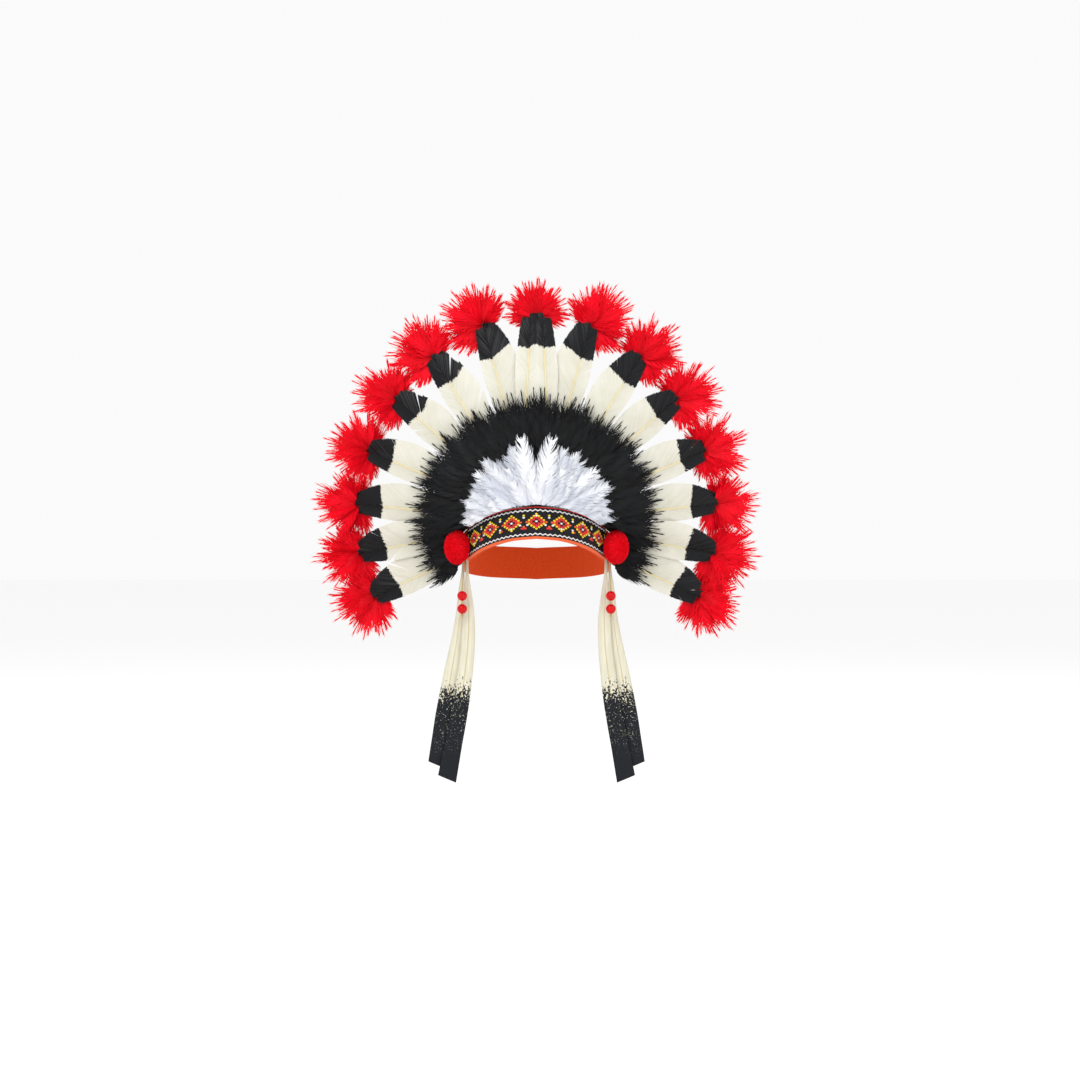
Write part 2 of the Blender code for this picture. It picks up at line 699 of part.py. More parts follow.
def feathers_and_tufts(goose, fluff):
    """The fan: seven feathers a side and a pair in the middle, each end with its tuft."""
    angles = [0.0] + [math.radians(row[0]) for row in FEATHER_PLACES]
    half_first = angles[1] / 2
    low, high = FEATHER_LIFTS
    for side, word in ((-1, "left"), (1, "right")):
        goose_feather(
            f"goose_feather_centre_{word}", goose, 0.0, side * CENTRE_FEATHER_SHIFT,
            CENTRE_FEATHER_SHIFT, CENTRE_NARROW_SIDE, -side, high,
        )
        for number, (degrees, lean) in enumerate(FEATHER_PLACES, start=1):
            angle = math.radians(degrees)
            lift = low if number % 2 else high
            goose_feather(
                f"goose_feather_{word}_{number}", goose, side * angle, 0.0,
                FEATHER_WIDE_SIDE, FEATHER_NARROW_SIDE, -side, lift,
            )
            before = (angle + angles[number - 1]) / 2
            last = number == len(FEATHER_PLACES)
            after = angle + half_first * TUFT_LAST_WEDGE if last else (angle + angles[number + 1]) / 2
            wedge = sorted((side * (before + TUFT_WEDGE_MARGIN), side * (after - TUFT_WEDGE_MARGIN)))
            tuft(
                f"tuft_{word}_{number}", fluff, side * angle, -side * math.radians(lean),
                wedge, lift + FEATHER_CAMBER, number,
            )
    centre_wedge = (TUFT_WEDGE_MARGIN - half_first, half_first - TUFT_WEDGE_MARGIN)
    tuft("tuft_centre", fluff, 0.0, 0.0, centre_wedge, high, 0)


def temple_hangings(wool, ribbon_finish, gloss, thread):
    """Pompom, two ribbons and a beaded thread on each temple."""
    for side, word in ((-1, "left"), (1, "right")):
        pompom(f"pompom_{word}", wool, side)
        ribbon(
            f"ribbon_outer_{word}", ribbon_finish, side, OUTER_RIBBON_SECTIONS,
            OUTER_RIBBON_LENGTH, OUTER_RIBBON_SWING, OUTER_RIBBON_RING_ANGLE, OUTER_RIBBON_DEPTH,
        )
        ribbon(
            f"ribbon_inner_{word}", ribbon_finish, side, INNER_RIBBON_SECTIONS,
            INNER_RIBBON_LENGTH, INNER_RIBBON_SWING, INNER_RIBBON_RING_ANGLE, INNER_RIBBON_DEPTH,
        )
        bead_thread(f"bead_thread_{word}", thread, side)
        for number, height in enumerate(BEAD_HEIGHTS, start=1):
            bead(f"bead_{word}_{number}", gloss, side, height)


def build():
    for obj in list(bpy.data.objects):
        bpy.data.objects.remove(obj)
    holder = bpy.data.objects.new("headdress", None)
    bpy.context.scene.collection.objects.link(holder)
    felt_band(material("red felt", (0.72, 0.09, 0.02), 0.9))
    woven_trim(material("woven trim", (0.03, 0.03, 0.035), 0.8))
    fan_panel(material("black felt", (0.02, 0.02, 0.022), 0.95))
    feathers_and_tufts(
        material("goose vane", (0.86, 0.82, 0.68), 0.6),
        material("red fluff", (0.85, 0.01, 0.02), 0.8),
    )
    plume(
        "black_plume", material("black fluff", (0.015, 0.017, 0.02), 0.7),
        BLACK_HALF_ANGLE, BLACK_COLUMNS, black_radii, BLACK_LOCK_RADIUS, BLACK_LOCK_SLOPE, black_lift,
    )
    plume(
        "white_plume", material("white fluff", (0.85, 0.87, 0.92), 0.8),
        WHITE_HALF_ANGLE, WHITE_COLUMNS, white_radii, WHITE_LOCK_RADIUS, WHITE_LOCK_SLOPE, white_lift,
    )
    temple_hangings(
        material("red wool", (0.80, 0.01, 0.02), 0.9),
        material("dipped ribbon", (0.84, 0.80, 0.62), 0.7),
        material("red gloss", (0.85, 0.01, 0.01), 0.15),
        material("thread", (0.45, 0.33, 0.15), 0.8),
    )


build()
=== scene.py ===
"""Looks of the feathered headdress, in metres, +Z up, as worn: the wearer faces -Y.

Feathers, tufts and plumes are fields of fine strips, one strip a barb. The trim carries a charted
pattern of raised stitches, and every cloth piece has its own weave or pile.
"""

import math
import random

import bmesh
import bpy
from mathutils import Matrix, Vector


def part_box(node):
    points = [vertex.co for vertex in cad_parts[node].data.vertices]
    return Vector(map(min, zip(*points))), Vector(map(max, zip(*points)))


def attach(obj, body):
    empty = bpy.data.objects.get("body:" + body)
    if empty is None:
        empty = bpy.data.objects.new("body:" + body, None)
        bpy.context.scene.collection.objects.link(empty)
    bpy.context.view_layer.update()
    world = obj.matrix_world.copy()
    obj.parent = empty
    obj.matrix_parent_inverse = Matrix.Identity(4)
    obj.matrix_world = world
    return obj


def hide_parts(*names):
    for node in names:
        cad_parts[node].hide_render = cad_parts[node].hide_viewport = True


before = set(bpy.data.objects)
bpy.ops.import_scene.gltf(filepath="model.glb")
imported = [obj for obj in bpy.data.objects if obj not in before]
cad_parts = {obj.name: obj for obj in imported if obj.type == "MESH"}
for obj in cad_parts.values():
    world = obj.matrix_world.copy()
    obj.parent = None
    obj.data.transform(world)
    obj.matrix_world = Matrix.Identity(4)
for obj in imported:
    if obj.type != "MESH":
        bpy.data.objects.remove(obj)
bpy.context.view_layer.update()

# Head opening and felt band
HEAD_HALF_WIDTH = 0.076
HEAD_HALF_DEPTH = 0.095
FELT_WALL = 0.002
FELT_HEIGHT = 0.0335
BAND_FRONT_HEIGHT = 0.035
BAND_DROP = 0.050
SEAT_GAP = 0.0003

# Drop of the band's middle below its forehead height: (degrees round from the forehead, share of BAND_DROP)
BAND_DROPS = ((0, 0.0), (20, 0.06), (40, 0.22), (60, 0.45), (90, 0.70), (135, 0.92), (180, 1.0))

# Fan surface, measured about a centre on the forehead as seen from the front
FAN_CENTRE_HEIGHT = 0.036
FAN_TIP_RADIUS_TOP = 0.213
FAN_TIP_RADIUS_SIDE = 0.190
FAN_TIP_DEPTH_TOP = -0.047
FAN_TIP_DEPTH_SIDE = 0.008
TIP_BACK_ANGLE = math.radians(100)
FOOT_BESIDE_ANGLE = math.radians(40)
FAN_LEG_RING_ANGLE = math.radians(80)
PANEL_WALL = 0.0025
PANEL_RADIUS = 0.108

# Goose feathers: (fan angle in degrees, lean of the tuft away from the feather in degrees), top to ear
FEATHER_PLACES = ((15.3, 42), (32.6, 29), (49.4, 20), (68.0, 8), (85.4, 14), (101.2, 13), (115.8, 5))
FEATHER_ROOT_RADIUS = 0.088
FEATHER_WALL = 0.0009
FEATHER_WIDE_SIDE = 0.0255
FEATHER_NARROW_SIDE = 0.0130
FEATHER_CAMBER = 0.0015
FEATHER_LIFTS = (0.0036, 0.0072)
ROOT_GAP = 0.0006
CENTRE_FEATHER_SHIFT = 0.0120
CENTRE_NARROW_SIDE = 0.0124
CENTRE_CONVERGENCE = 0.5
PAIR_MEETS_FROM = 0.4
NOTCH_DEPTH = 0.0035
SHAFT_HALF_WIDTH = 0.0011
SHAFT_RISE = 0.0006
SHAFT_LENGTH_SHARE = 0.985

# Feather outline: (share of the length, share of the wide side, share of the narrow side)
FEATHER_OUTLINE = (
    (0.00, 0.08, 0.16),
    (0.12, 0.16, 0.26),
    (0.22, 0.46, 0.50),
    (0.34, 0.80, 0.76),
    (0.55, 1.00, 1.00),
    (0.78, 0.86, 0.92),
    (0.94, 0.60, 0.74),
    (1.00, 0.44, 0.54),
)
BARBS_A_SIDE = 165
BARB_SLOPE_ROOT = 1.2
BARB_SLOPE_TIP = 2.6
BARB_ROLL = 0.00022
SLIT_CHANCE = 0.03
SLIT_DEPTH = 0.0042
BARB_COVER_AT_SHAFT = 1.5
BARB_COVER_AT_EDGE = 2.3
PAIR_OVERLAP = 0.0004

# Dipped tips, top feather to ear: (length of the dip along the shaft, slant of its edge across the vane)
DIPS = (
    (0.0370, 0.45), (0.0330, 0.26), (0.0300, 0.12), (0.0290, 0.20),
    (0.0290, 0.16), (0.0305, 0.16), (0.0305, 0.14),
)
PAIR_DIP = (0.0350, 0.42)
DIP_FADE = 0.02

# Tufts on the feathers' tips
TUFT_HEAD_DEPTH = 0.0075
TUFT_REACH = 0.050
CENTRE_TUFT_REACH = 0.039
CENTRE_TUFT_SIDE_LOSS = 0.16
TUFT_SPREAD = math.radians(112)
TUFT_DOME = math.radians(27)
TUFT_SIDE_LOSS = 0.42
TUFT_PLUMES = 86
TUFT_HALF_WIDTHS = (0.0056, 0.0078)
TUFT_LENGTHS = (0.74, 0.86, 0.94, 1.0)
TUFT_BEND = 0.10

# Plumes: angles and sizes of each, root_back and root_step from tip to root, and lifts off the backing
BACKING_WALL = 0.0015
BACKING_RADII = (0.064, 0.108)
BACKING_HALF_ANGLE = math.radians(119)
BACKING_FOOT_GAP = 0.002
BLACK_GAP = 0.0009
BLACK_HACKLES = {
    "tip_radii": (0.137, 0.131, 0.124, 0.114, 0.103), "counts": (66, 70, 66, 56, 46),
    "half_angle": math.radians(124), "half_width": 0.0062, "slope": 0.16, "swing": math.radians(5),
    "foot_gap": 0.004, "root_back": 0.046, "root_step": 0.004,
    "seat": BACKING_WALL, "row_lift": 0.0012, "notch": 0.0,
}
WHITE_HACKLES = {
    "tip_radii": (0.0865, 0.083, 0.074, 0.062, 0.048), "counts": (19, 20, 20, 18, 14),
    "half_angle": math.radians(91), "half_width": 0.0070, "slope": 0.20, "swing": math.radians(4),
    "foot_gap": 0.0015, "root_back": 0.066, "root_step": 0.0,
    "seat": 2 * BACKING_WALL, "row_lift": 0.0010, "notch": math.radians(6),
}
NOTCH_SHARE = 0.88
WHITE_PAIR_ANGLE = math.radians(10.5)
WHITE_PAIR_TIP = 0.0875
WHITE_PAIR_HALF_WIDTH = 0.0100
WHITE_PAIR_LIFT = 0.0036
WHITE_OUTER_RADIUS = 0.062
HACKLE_ROOT_LIFT = 0.0006
HACKLE_LEAST_LENGTH = 0.016
FIRST_BARB_SHARE = 0.02
BARBED_SHARE = 0.93
QUILL_WIDTH_SHARE = 0.7

# Barbs of small feathers: (barbs a side, run forwards for their reach, width, taper, painted shade towards
# the ends for the shaded gaps between feathers)
TUFT_BARBS = (24, 2.0, 0.0027, 0.66, 0.12)
BLACK_BARBS = (28, 1.9, 0.0023, 0.66, 0.35)
WHITE_BARBS = (38, 1.5, 0.0026, 0.5, 0.4)

# Outlines of small feathers: (share of the length, share of the half width)
POINTED = ((0.0, 0.35), (0.25, 0.85), (0.55, 1.0), (0.8, 0.78), (0.94, 0.4), (1.0, 0.14), (1.3, 0.0))
ROUNDED = ((0.0, 0.35), (0.25, 0.75), (0.6, 1.0), (0.85, 0.92), (0.97, 0.68), (1.05, 0.4), (1.3, 0.1))

# Pompoms at the temples
POMPOM_RING_ANGLE = math.radians(61.5)
POMPOM_RADIUS = 0.0182
POMPOM_DROP = 0.0038
POMPOM_HALF_DEPTH = 0.0125
POMPOM_FIBRES = 4200
POMPOM_CORE_SHARE = 0.84
POMPOM_FIBRE_WIDTH = 0.0010
FIBRE_ROOT_SHARE = 0.62

# Woven trim
TRIM_WALL = 0.0018
TRIM_HEIGHT = 0.0310
TRIM_HALF_ANGLE = math.radians(62.5)
DIAMOND_PITCH = 0.0262
DIAMOND_HEIGHT = 0.0012
STITCH_WIDTH = 0.00252
STITCH_HEIGHT = 0.00190
STITCH_RISE = 0.0009
ZIGZAG_HEIGHTS = (0.0128, -0.0116)
ZIGZAG_PERIOD = 0.0052
ZIGZAG_SWING = 0.00075
ZIGZAG_WIDTH = 0.0013
STITCH_FILL = 0.56
STITCHED_SHARE = 0.985
WEAVE_CELL = (0.0013, 0.00095)
LOWER_EDGE_RADIUS = 0.0015
UPPER_EDGE_RADIUS = 0.0005
EDGE_RISE = 0.0002
ARC_STEPS = 200
ARC_SPARE = 1.1
SLANT_STEP = 0.02
HEAD_MEAN_RADIUS = 0.088

# Ribbons that hang from the temples
RIBBON_WALL = 0.0009
RIBBON_HALF_WIDTH = 0.0093
RIBBON_END_SLANT = 0.42
RIBBON_FOLD = 0.0008
OUTER_RIBBON_LENGTH = 0.226
OUTER_RIBBON_SWING = 0.028
OUTER_RIBBON_RING_ANGLE = math.radians(72.5)
INNER_RIBBON_LENGTH = 0.243
INNER_RIBBON_SWING = 0.021
INNER_RIBBON_RING_ANGLE = math.radians(66)
OUTER_RIBBON_DEPTH = -0.0330
INNER_RIBBON_DEPTH = -0.0360
RIBBON_DIP_HEIGHT = -0.1436
RIBBON_DIP_FADE = 0.150

# Ribbon sections: (share of the length, share of the swing, share of the half width, share of the twist)
OUTER_RIBBON_SECTIONS = (
    (0.00, 0.00, 0.34, 1.00),
    (0.10, 0.04, 0.32, 0.85),
    (0.20, 0.10, 0.40, 0.35),
    (0.30, 0.15, 0.46, 0.08),
    (0.42, 0.27, 0.62, 0.00),
    (0.58, 0.48, 0.86, 0.00),
    (0.78, 0.76, 0.97, 0.00),
    (1.00, 1.00, 1.00, 0.00),
)
INNER_RIBBON_SECTIONS = (
    (0.00, 0.00, 0.34, 1.00),
    (0.12, 0.00, 0.30, 0.80),
    (0.22, -0.04, 0.50, 0.30),
    (0.32, -0.08, 0.68, 0.05),
    (0.42, -0.04, 0.76, 0.00),
    (0.52, 0.07, 0.84, 0.00),
    (0.70, 0.36, 0.95, 0.00),
    (1.00, 1.00, 1.00, 0.00),
)

# Beads
BEAD_RADIUS = 0.0052
BEAD_HOLE_RADIUS = 0.0010

# Camera, floor and lights: (name, place, size, watts)
CAMERA_DISTANCE = 4.0
CAMERA_ELEVATION = math.radians(2)
CAMERA_AIM = Vector((0.0036, -0.060, 0.0157))
CAMERA_SENSOR = 36
FRAME_WIDTH = 1.112
FLOOR_HEIGHT = -0.30
FLOOR_REACH = 6
WORLD_STRENGTH = 0.96
LIGHTS = (
    ("key", (-0.9, -1.9, 1.5), 1.1, 17),
    ("fill", (1.4, -1.6, 0.7), 1.4, 6),
    ("back", (0.3, 1.6, 1.6), 1.4, 6),
)

UP = Vector((0, 0, 1))
SIDES = ((-1, "left"), (1, "right"))


def smooth_value(table, at, column=1):
    """The table's column at a place along its first column, on a smooth curve through its rows."""
    at = min(max(at, table[0][0]), table[-1][0])
    last = len(table) - 1
    i = 0
    while i < last - 1 and table[i + 1][0] <= at:
        i += 1

    def slope(k):
        low, high = max(k - 1, 0), min(k + 1, last)
        return (table[high][column] - table[low][column]) / (table[high][0] - table[low][0])

    width = table[i + 1][0] - table[i][0]
    s = (at - table[i][0]) / width
    return (
        (2 * s**3 - 3 * s**2 + 1) * table[i][column]
        + (s**3 - 2 * s**2 + s) * width * slope(i)
        + (3 * s**2 - 2 * s**3) * table[i + 1][column]
        + (s**3 - s**2) * width * slope(i + 1)
    )


def smooth_step(share):
    share = min(max(share, 0.0), 1.0)
    return share * share * (3 - 2 * share)


def band_height(angle):
    """Height of the band's middle at an angle round the head, 0 at the forehead."""
    return BAND_FRONT_HEIGHT - BAND_DROP * smooth_value(BAND_DROPS, abs(math.degrees(angle)))


def ring_point(angle, outward, above):
    """A point round the head: outward from the head's surface, above the band's middle."""
    return Vector((
        (HEAD_HALF_WIDTH + outward) * math.sin(angle),
        -(HEAD_HALF_DEPTH + outward) * math.cos(angle),
        band_height(angle) + above,
    ))


def ring_normal(angle):
    """Level direction that points out of the band."""
    return Vector((
        math.sin(angle) / HEAD_HALF_WIDTH, -math.cos(angle) / HEAD_HALF_DEPTH, 0.0
    )).normalized()


def fan_foot_at_ring(angle):
    """The fan's inner edge at a ring angle: on top of the felt in front, beside it at the ears."""
    beside = FELT_WALL + SEAT_GAP + PANEL_WALL / 2
    outward = FELT_WALL / 2 + (beside - FELT_WALL / 2) * smooth_step(abs(angle) / FOOT_BESIDE_ANGLE)
    return ring_point(angle, outward, FELT_HEIGHT / 2 + SEAT_GAP)


def fan_angle_of(point):
    """Angle of a point about the fan's centre, seen from the front, 0 straight up."""
    return math.atan2(point.x, point.z - FAN_CENTRE_HEIGHT)


def exact_fan_foot(angle):
    """(radius, depth) of the fan's inner edge at a fan angle."""
    leg = fan_foot_at_ring(FAN_LEG_RING_ANGLE)
    if angle >= fan_angle_of(leg):
        return leg.x / math.sin(angle), leg.y
    low, high = 0.0, FAN_LEG_RING_ANGLE
    for _ in range(30):
        middle = (low + high) / 2
        if fan_angle_of(fan_foot_at_ring(middle)) < angle:
            low = middle
        else:
            high = middle
    foot = fan_foot_at_ring(low)
    return math.hypot(foot.x, foot.z - FAN_CENTRE_HEIGHT), foot.y


FOOT_STEPS_A_DEGREE = 4
FEET = [exact_fan_foot(math.radians(k / FOOT_STEPS_A_DEGREE)) for k in range(175 * FOOT_STEPS_A_DEGREE)]


def fan_foot(angle):
    """(radius, depth) of the fan's inner edge, read between the feet found once above."""
    place = min(abs(math.degrees(angle)) * FOOT_STEPS_A_DEGREE, len(FEET) - 2)
    number = int(place)
    share = place - number
    low, high = FEET[number], FEET[number + 1]
    return low[0] + (high[0] - low[0]) * share, low[1] + (high[1] - low[1]) * share


def tip_radius(angle):
    rise = max(math.cos(angle), 0.0) ** 4
    return FAN_TIP_RADIUS_SIDE + (FAN_TIP_RADIUS_TOP - FAN_TIP_RADIUS_SIDE) * rise


def tip_depth(angle):
    turned = smooth_step(abs(angle) / TIP_BACK_ANGLE)
    return FAN_TIP_DEPTH_TOP + (FAN_TIP_DEPTH_SIDE - FAN_TIP_DEPTH_TOP) * turned


def fan_depth(angle, radius):
    """Depth of the fan surface, straight along each ray from its foot to the feathers' tips."""
    foot_radius, foot_depth = fan_foot(angle)
    share = (radius - foot_radius) / (tip_radius(angle) - foot_radius)
    return foot_depth + (tip_depth(angle) - foot_depth) * share


def fan_steepness(angle, radius):
    """How much longer the way out of the fan's surface is along the depth than straight out of it."""
    step = math.radians(2)
    here = fan_depth(angle, radius)
    beside = [abs(fan_depth(angle + way * step, radius) - here) for way in (-1, 1)]
    return math.hypot(1, max(beside) / (step * radius))


def fan_point(angle, radius, lift):
    """A point in front of the fan surface by lift, in polar places about the fan's centre."""
    return Vector((
        radius * math.sin(angle),
        fan_depth(angle, radius) - lift,
        FAN_CENTRE_HEIGHT + radius * math.cos(angle),
    ))


def on_fan(x, z, lift):
    """The point in front of the fan surface by lift, at a place seen from the front."""
    radius = math.hypot(x, z - FAN_CENTRE_HEIGHT)
    return fan_point(math.atan2(x, z - FAN_CENTRE_HEIGHT), radius, lift)


def black_lift(angle, radius):
    """Lift of the black backing: on the panel inside, over the feathers' shafts outside."""
    seated = (PANEL_WALL / 2 + ROOT_GAP) * fan_steepness(angle, radius)
    over_shafts = FEATHER_LIFTS[1] + FEATHER_CAMBER + SHAFT_RISE + FEATHER_WALL / 2 + BLACK_GAP
    rise = smooth_step((radius - WHITE_OUTER_RADIUS) / (FEATHER_ROOT_RADIUS - WHITE_OUTER_RADIUS))
    return seated + (over_shafts - seated) * rise


# Building pieces

def finished_piece(name, bm, finishes, nodes=()):
    """Makes the bmesh a piece of the headdress with its finishes, in place of CAD nodes if given."""
    mesh = bpy.data.meshes.new(name)
    bm.to_mesh(mesh)
    bm.free()
    for finish in finishes:
        mesh.materials.append(finish)
    mesh.shade_smooth()
    piece = bpy.data.objects.new(name, mesh)
    bpy.context.scene.collection.objects.link(piece)
    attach(piece, "root")
    if nodes:
        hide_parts(*nodes)
    return piece


def mark_map(bm, marks):
    """Writes a pair of numbers for each vertex into the UV map that the finishes read."""
    layer = bm.loops.layers.uv.new("strand")
    for face in bm.faces:
        for loop in face.loops:
            loop[layer].uv = marks[loop.vert.index]


def strip_field(count, segments, place):
    """A mesh of separate strips. place(strip, edge, share) gives a point and its (tone, mark)."""
    bm = bmesh.new()
    bmesh.ops.create_grid(bm, x_segments=2 * count - 1, y_segments=segments, size=0.5)
    bm.verts.index_update()
    columns = 2 * count
    marks = []
    for number, vert in enumerate(bm.verts):
        row, column = divmod(number, columns)
        vert.co, mark = place(column // 2, column % 2, row / segments)
        marks.append(mark)
    mark_map(bm, marks)
    between = [face for face in bm.faces if len({v.index % columns // 2 for v in face.verts}) == 2]
    bmesh.ops.delete(bm, geom=between, context="FACES")
    return bm


def mapped_grid(columns, rows, place):
    """A sheet whose place(u, v), each from 0 to 1, gives a point and its (across, along)."""
    bm = bmesh.new()
    bmesh.ops.create_grid(bm, x_segments=columns, y_segments=rows, size=0.5)
    bm.verts.index_update()
    marks = []
    for vert in bm.verts:
        vert.co, mark = place(vert.co.x + 0.5, vert.co.y + 0.5)
        marks.append(mark)
    mark_map(bm, marks)
    return bm


def add_mesh(bm, other, finish_number=0):
    """Adds another bmesh's geometry with its finish's number, and frees it."""
    for face in other.faces:
        face.material_index = finish_number
    mesh = bpy.data.meshes.new("part")
    other.to_mesh(mesh)
    other.free()
    bm.from_mesh(mesh)
    bpy.data.meshes.remove(mesh)


def tube(path, radii, sides, mark):
    """A round rod along a path of points, with a radius for each, marked with mark(share)."""
    rows = len(path) - 1

    def place(u, v):
        row = round(v * rows)
        along = (path[min(row + 1, rows)] - path[max(row - 1, 0)]).normalized()
        across = along.cross(Vector((0, -1, 0.01))).normalized()
        other = along.cross(across)
        turn = 2 * math.pi * u
        point = path[row] + (across * math.cos(turn) + other * math.sin(turn)) * radii[row]
        return point, mark(v)

    return mapped_grid(sides, rows, place)


def add_wall(piece, thickness):
    """Thickens a sheet to both sides."""
    wall = piece.modifiers.new("Wall", "SOLIDIFY")
    wall.thickness = thickness
    wall.offset = 0.0


# Finishes

def new_finish(name, roughness, sheen=0.0, coat=0.0, specular=0.5, sheen_tint=(1, 1, 1)):
    """(material, its nodes, its links, its shader), for a finish to be built on."""
    finish = bpy.data.materials.new(name)
    finish.use_nodes = True
    tree = finish.node_tree
    shader = tree.nodes["Principled BSDF"]
    for socket, value in (
        ("Roughness", roughness), ("Sheen Weight", sheen), ("Sheen Tint", (*sheen_tint, 1)),
        ("Coat Weight", coat), ("Specular IOR Level", specular),
    ):
        shader.inputs[socket].default_value = value
    return finish, tree.nodes, tree.links, shader


def add_ramp(nodes, links, factor, stops):
    """A colour ramp read by a factor: stops are (place, (r, g, b))."""
    ramp = nodes.new("ShaderNodeValToRGB")
    while len(ramp.color_ramp.elements) < len(stops):
        ramp.color_ramp.elements.new(0.5)
    for element, (place, colour) in zip(ramp.color_ramp.elements, stops):
        element.position = place
        element.color = (*colour, 1)
    links.new(factor, ramp.inputs["Fac"])
    return ramp.outputs["Color"]


def add_noise(nodes, links, scale, detail=3.0, stretch=(1, 1, 1)):
    """A noise in the piece's own space, stretched along its axes."""
    source = nodes.new("ShaderNodeTexCoord")
    mapping = nodes.new("ShaderNodeMapping")
    mapping.inputs["Scale"].default_value = stretch
    noise = nodes.new("ShaderNodeTexNoise")
    noise.inputs["Scale"].default_value = scale
    noise.inputs["Detail"].default_value = detail
    links.new(source.outputs["Object"], mapping.inputs["Vector"])
    links.new(mapping.outputs["Vector"], noise.inputs["Vector"])
    return noise.outputs["Fac"]


def strand_marks(nodes, links):
    """The two numbers that each strand carries."""
    marks = nodes.new("ShaderNodeUVMap")
    marks.uv_map = "strand"
    apart = nodes.new("ShaderNodeSeparateXYZ")
    links.new(marks.outputs["UV"], apart.inputs["Vector"])
    return apart.outputs["X"], apart.outputs["Y"]


def feed(links, value, socket):
    """Gives a socket its value: another socket, a number or an (r, g, b)."""
    if isinstance(value, bpy.types.NodeSocket):
        links.new(value, socket)
    else:
        socket.default_value = (*value, 1) if isinstance(value, tuple) else value


def add_mix(nodes, links, factor, first, second, blend="MIX"):
    """Mixes two colours, each a socket or an (r, g, b), by a factor, a socket or a number."""
    mix = nodes.new("ShaderNodeMix")
    mix.data_type = "RGBA"
    mix.blend_type = blend
    for number, value in ((0, factor), (6, first), (7, second)):
        feed(links, value, mix.inputs[number])
    return mix.outputs[2]


def add_sum(nodes, links, operation, *values):
    """A sum on sockets and numbers."""
    reckoned = nodes.new("ShaderNodeMath")
    reckoned.operation = operation
    for value, socket in zip(values, reckoned.inputs):
        feed(links, value, socket)
    return reckoned.outputs[0]


def add_bump(nodes, links, shader, height, strength, distance):
    bump = nodes.new("ShaderNodeBump")
    bump.inputs["Strength"].default_value = strength
    bump.inputs["Distance"].default_value = distance
    links.new(height, bump.inputs["Height"])
    links.new(bump.outputs["Normal"], shader.inputs["Normal"])


def dipped_vane(name, pale, creamy, cloudiness):
    """Cream barbs with a cloudy change of colour, dipped in glossy black past the mark 0.5."""
    finish, nodes, links, shader = new_finish(name, 0.55, sheen=0.03, specular=0.17)
    tone, dip = strand_marks(nodes, links)
    light = add_ramp(nodes, links, tone, ((0.0, creamy), (1.0, pale)))
    clouds = add_noise(nodes, links, 60)
    cloudy = add_ramp(nodes, links, clouds, ((0.35, (0.9, 0.89, 0.84)), (0.7, (1, 1, 1))))
    vane = add_mix(nodes, links, cloudiness, light, cloudy, "MULTIPLY")
    dark = add_ramp(nodes, links, tone, ((0.0, (0.001, 0.001, 0.001)), (1.0, (0.007, 0.008, 0.010))))
    edge = add_ramp(nodes, links, dip, ((0.49, (0, 0, 0)), (0.51, (1, 1, 1))))
    links.new(add_mix(nodes, links, edge, vane, dark), shader.inputs["Base Color"])
    gloss = add_ramp(nodes, links, edge, ((0.0, (0.55, 0.55, 0.55)), (1.0, (0.27, 0.27, 0.27))))
    links.new(gloss, shader.inputs["Roughness"])
    return finish


def fluff(name, roots, tips, roughness, sheen, tint, shaded=(0.8, 0.8, 0.8), specular=0.12):
    """Fine barbs, from a darker root colour, painted shade deep in the fluff, to a tip colour; each strand a
    little lighter or darker, and barbs of small feathers darker at their ends by painted shade.
    """
    finish, nodes, links, shader = new_finish(
        name, roughness, sheen=sheen, specular=specular, sheen_tint=tint
    )
    tone, along = strand_marks(nodes, links)
    between = tuple((a + 2 * b) / 3 for a, b in zip(roots, tips))
    body = add_ramp(nodes, links, along, ((0.0, roots), (0.35, between), (0.7, tips)))
    shade = add_ramp(nodes, links, tone, ((0.0, shaded), (0.75, (1.0, 1.0, 1.0))))
    links.new(add_mix(nodes, links, 1.0, body, shade, "MULTIPLY"), shader.inputs["Base Color"])
    return finish


def felt(name, dark, light):
    """Pressed wool: a fine mottle with a matted fibre bump."""
    finish, nodes, links, shader = new_finish(name, 0.92, sheen=0.35, specular=0.2, sheen_tint=light)
    fine = add_noise(nodes, links, 1400, 6)
    links.new(add_ramp(nodes, links, fine, ((0.3, dark), (0.7, light))), shader.inputs["Base Color"])
    add_bump(nodes, links, shader, add_noise(nodes, links, 900, 8), 0.6, 0.0006)
    return finish


def yarn(name, colour, roughness, fineness=1500.0):
    """Dyed thread: a fine mottle with a slight change of colour."""
    finish, nodes, links, shader = new_finish(name, roughness, sheen=0.2)
    fine = add_noise(nodes, links, fineness, 4)
    darker = tuple(c * 0.7 for c in colour)
    links.new(add_ramp(nodes, links, fine, ((0.35, darker), (0.65, colour))), shader.inputs["Base Color"])
    add_bump(nodes, links, shader, fine, 0.4, 0.0003)
    return finish


def woven_ground(name):
    """Black ground of the trim: a small cell for each crossing of the weave, painted lighter in its raised
    middle and darker in the hollows between, as painted sheen and painted shade.
    """
    finish, nodes, links, shader = new_finish(name, 0.8, sheen=0.03, specular=0.15)
    marks = nodes.new("ShaderNodeUVMap")
    marks.uv_map = "strand"
    weave = nodes.new("ShaderNodeTexVoronoi")
    weave.inputs["Scale"].default_value = 1.0
    links.new(marks.outputs["UV"], weave.inputs["Vector"])
    weave.inputs["Randomness"].default_value = 0.25
    # Cell colour follows the bump: painted sheen on each raised crossing, painted shade in the hollows
    # between.
    colour = add_ramp(
        nodes, links, weave.outputs["Distance"],
        ((0.0, (0.035, 0.036, 0.04)), (0.5, (0.008, 0.008, 0.010)), (1.0, (0.003, 0.003, 0.004))),
    )
    links.new(colour, shader.inputs["Base Color"])
    lift = add_sum(nodes, links, "SUBTRACT", 1.0, weave.outputs["Distance"])
    add_bump(nodes, links, shader, lift, 0.8, 0.0006)
    return finish


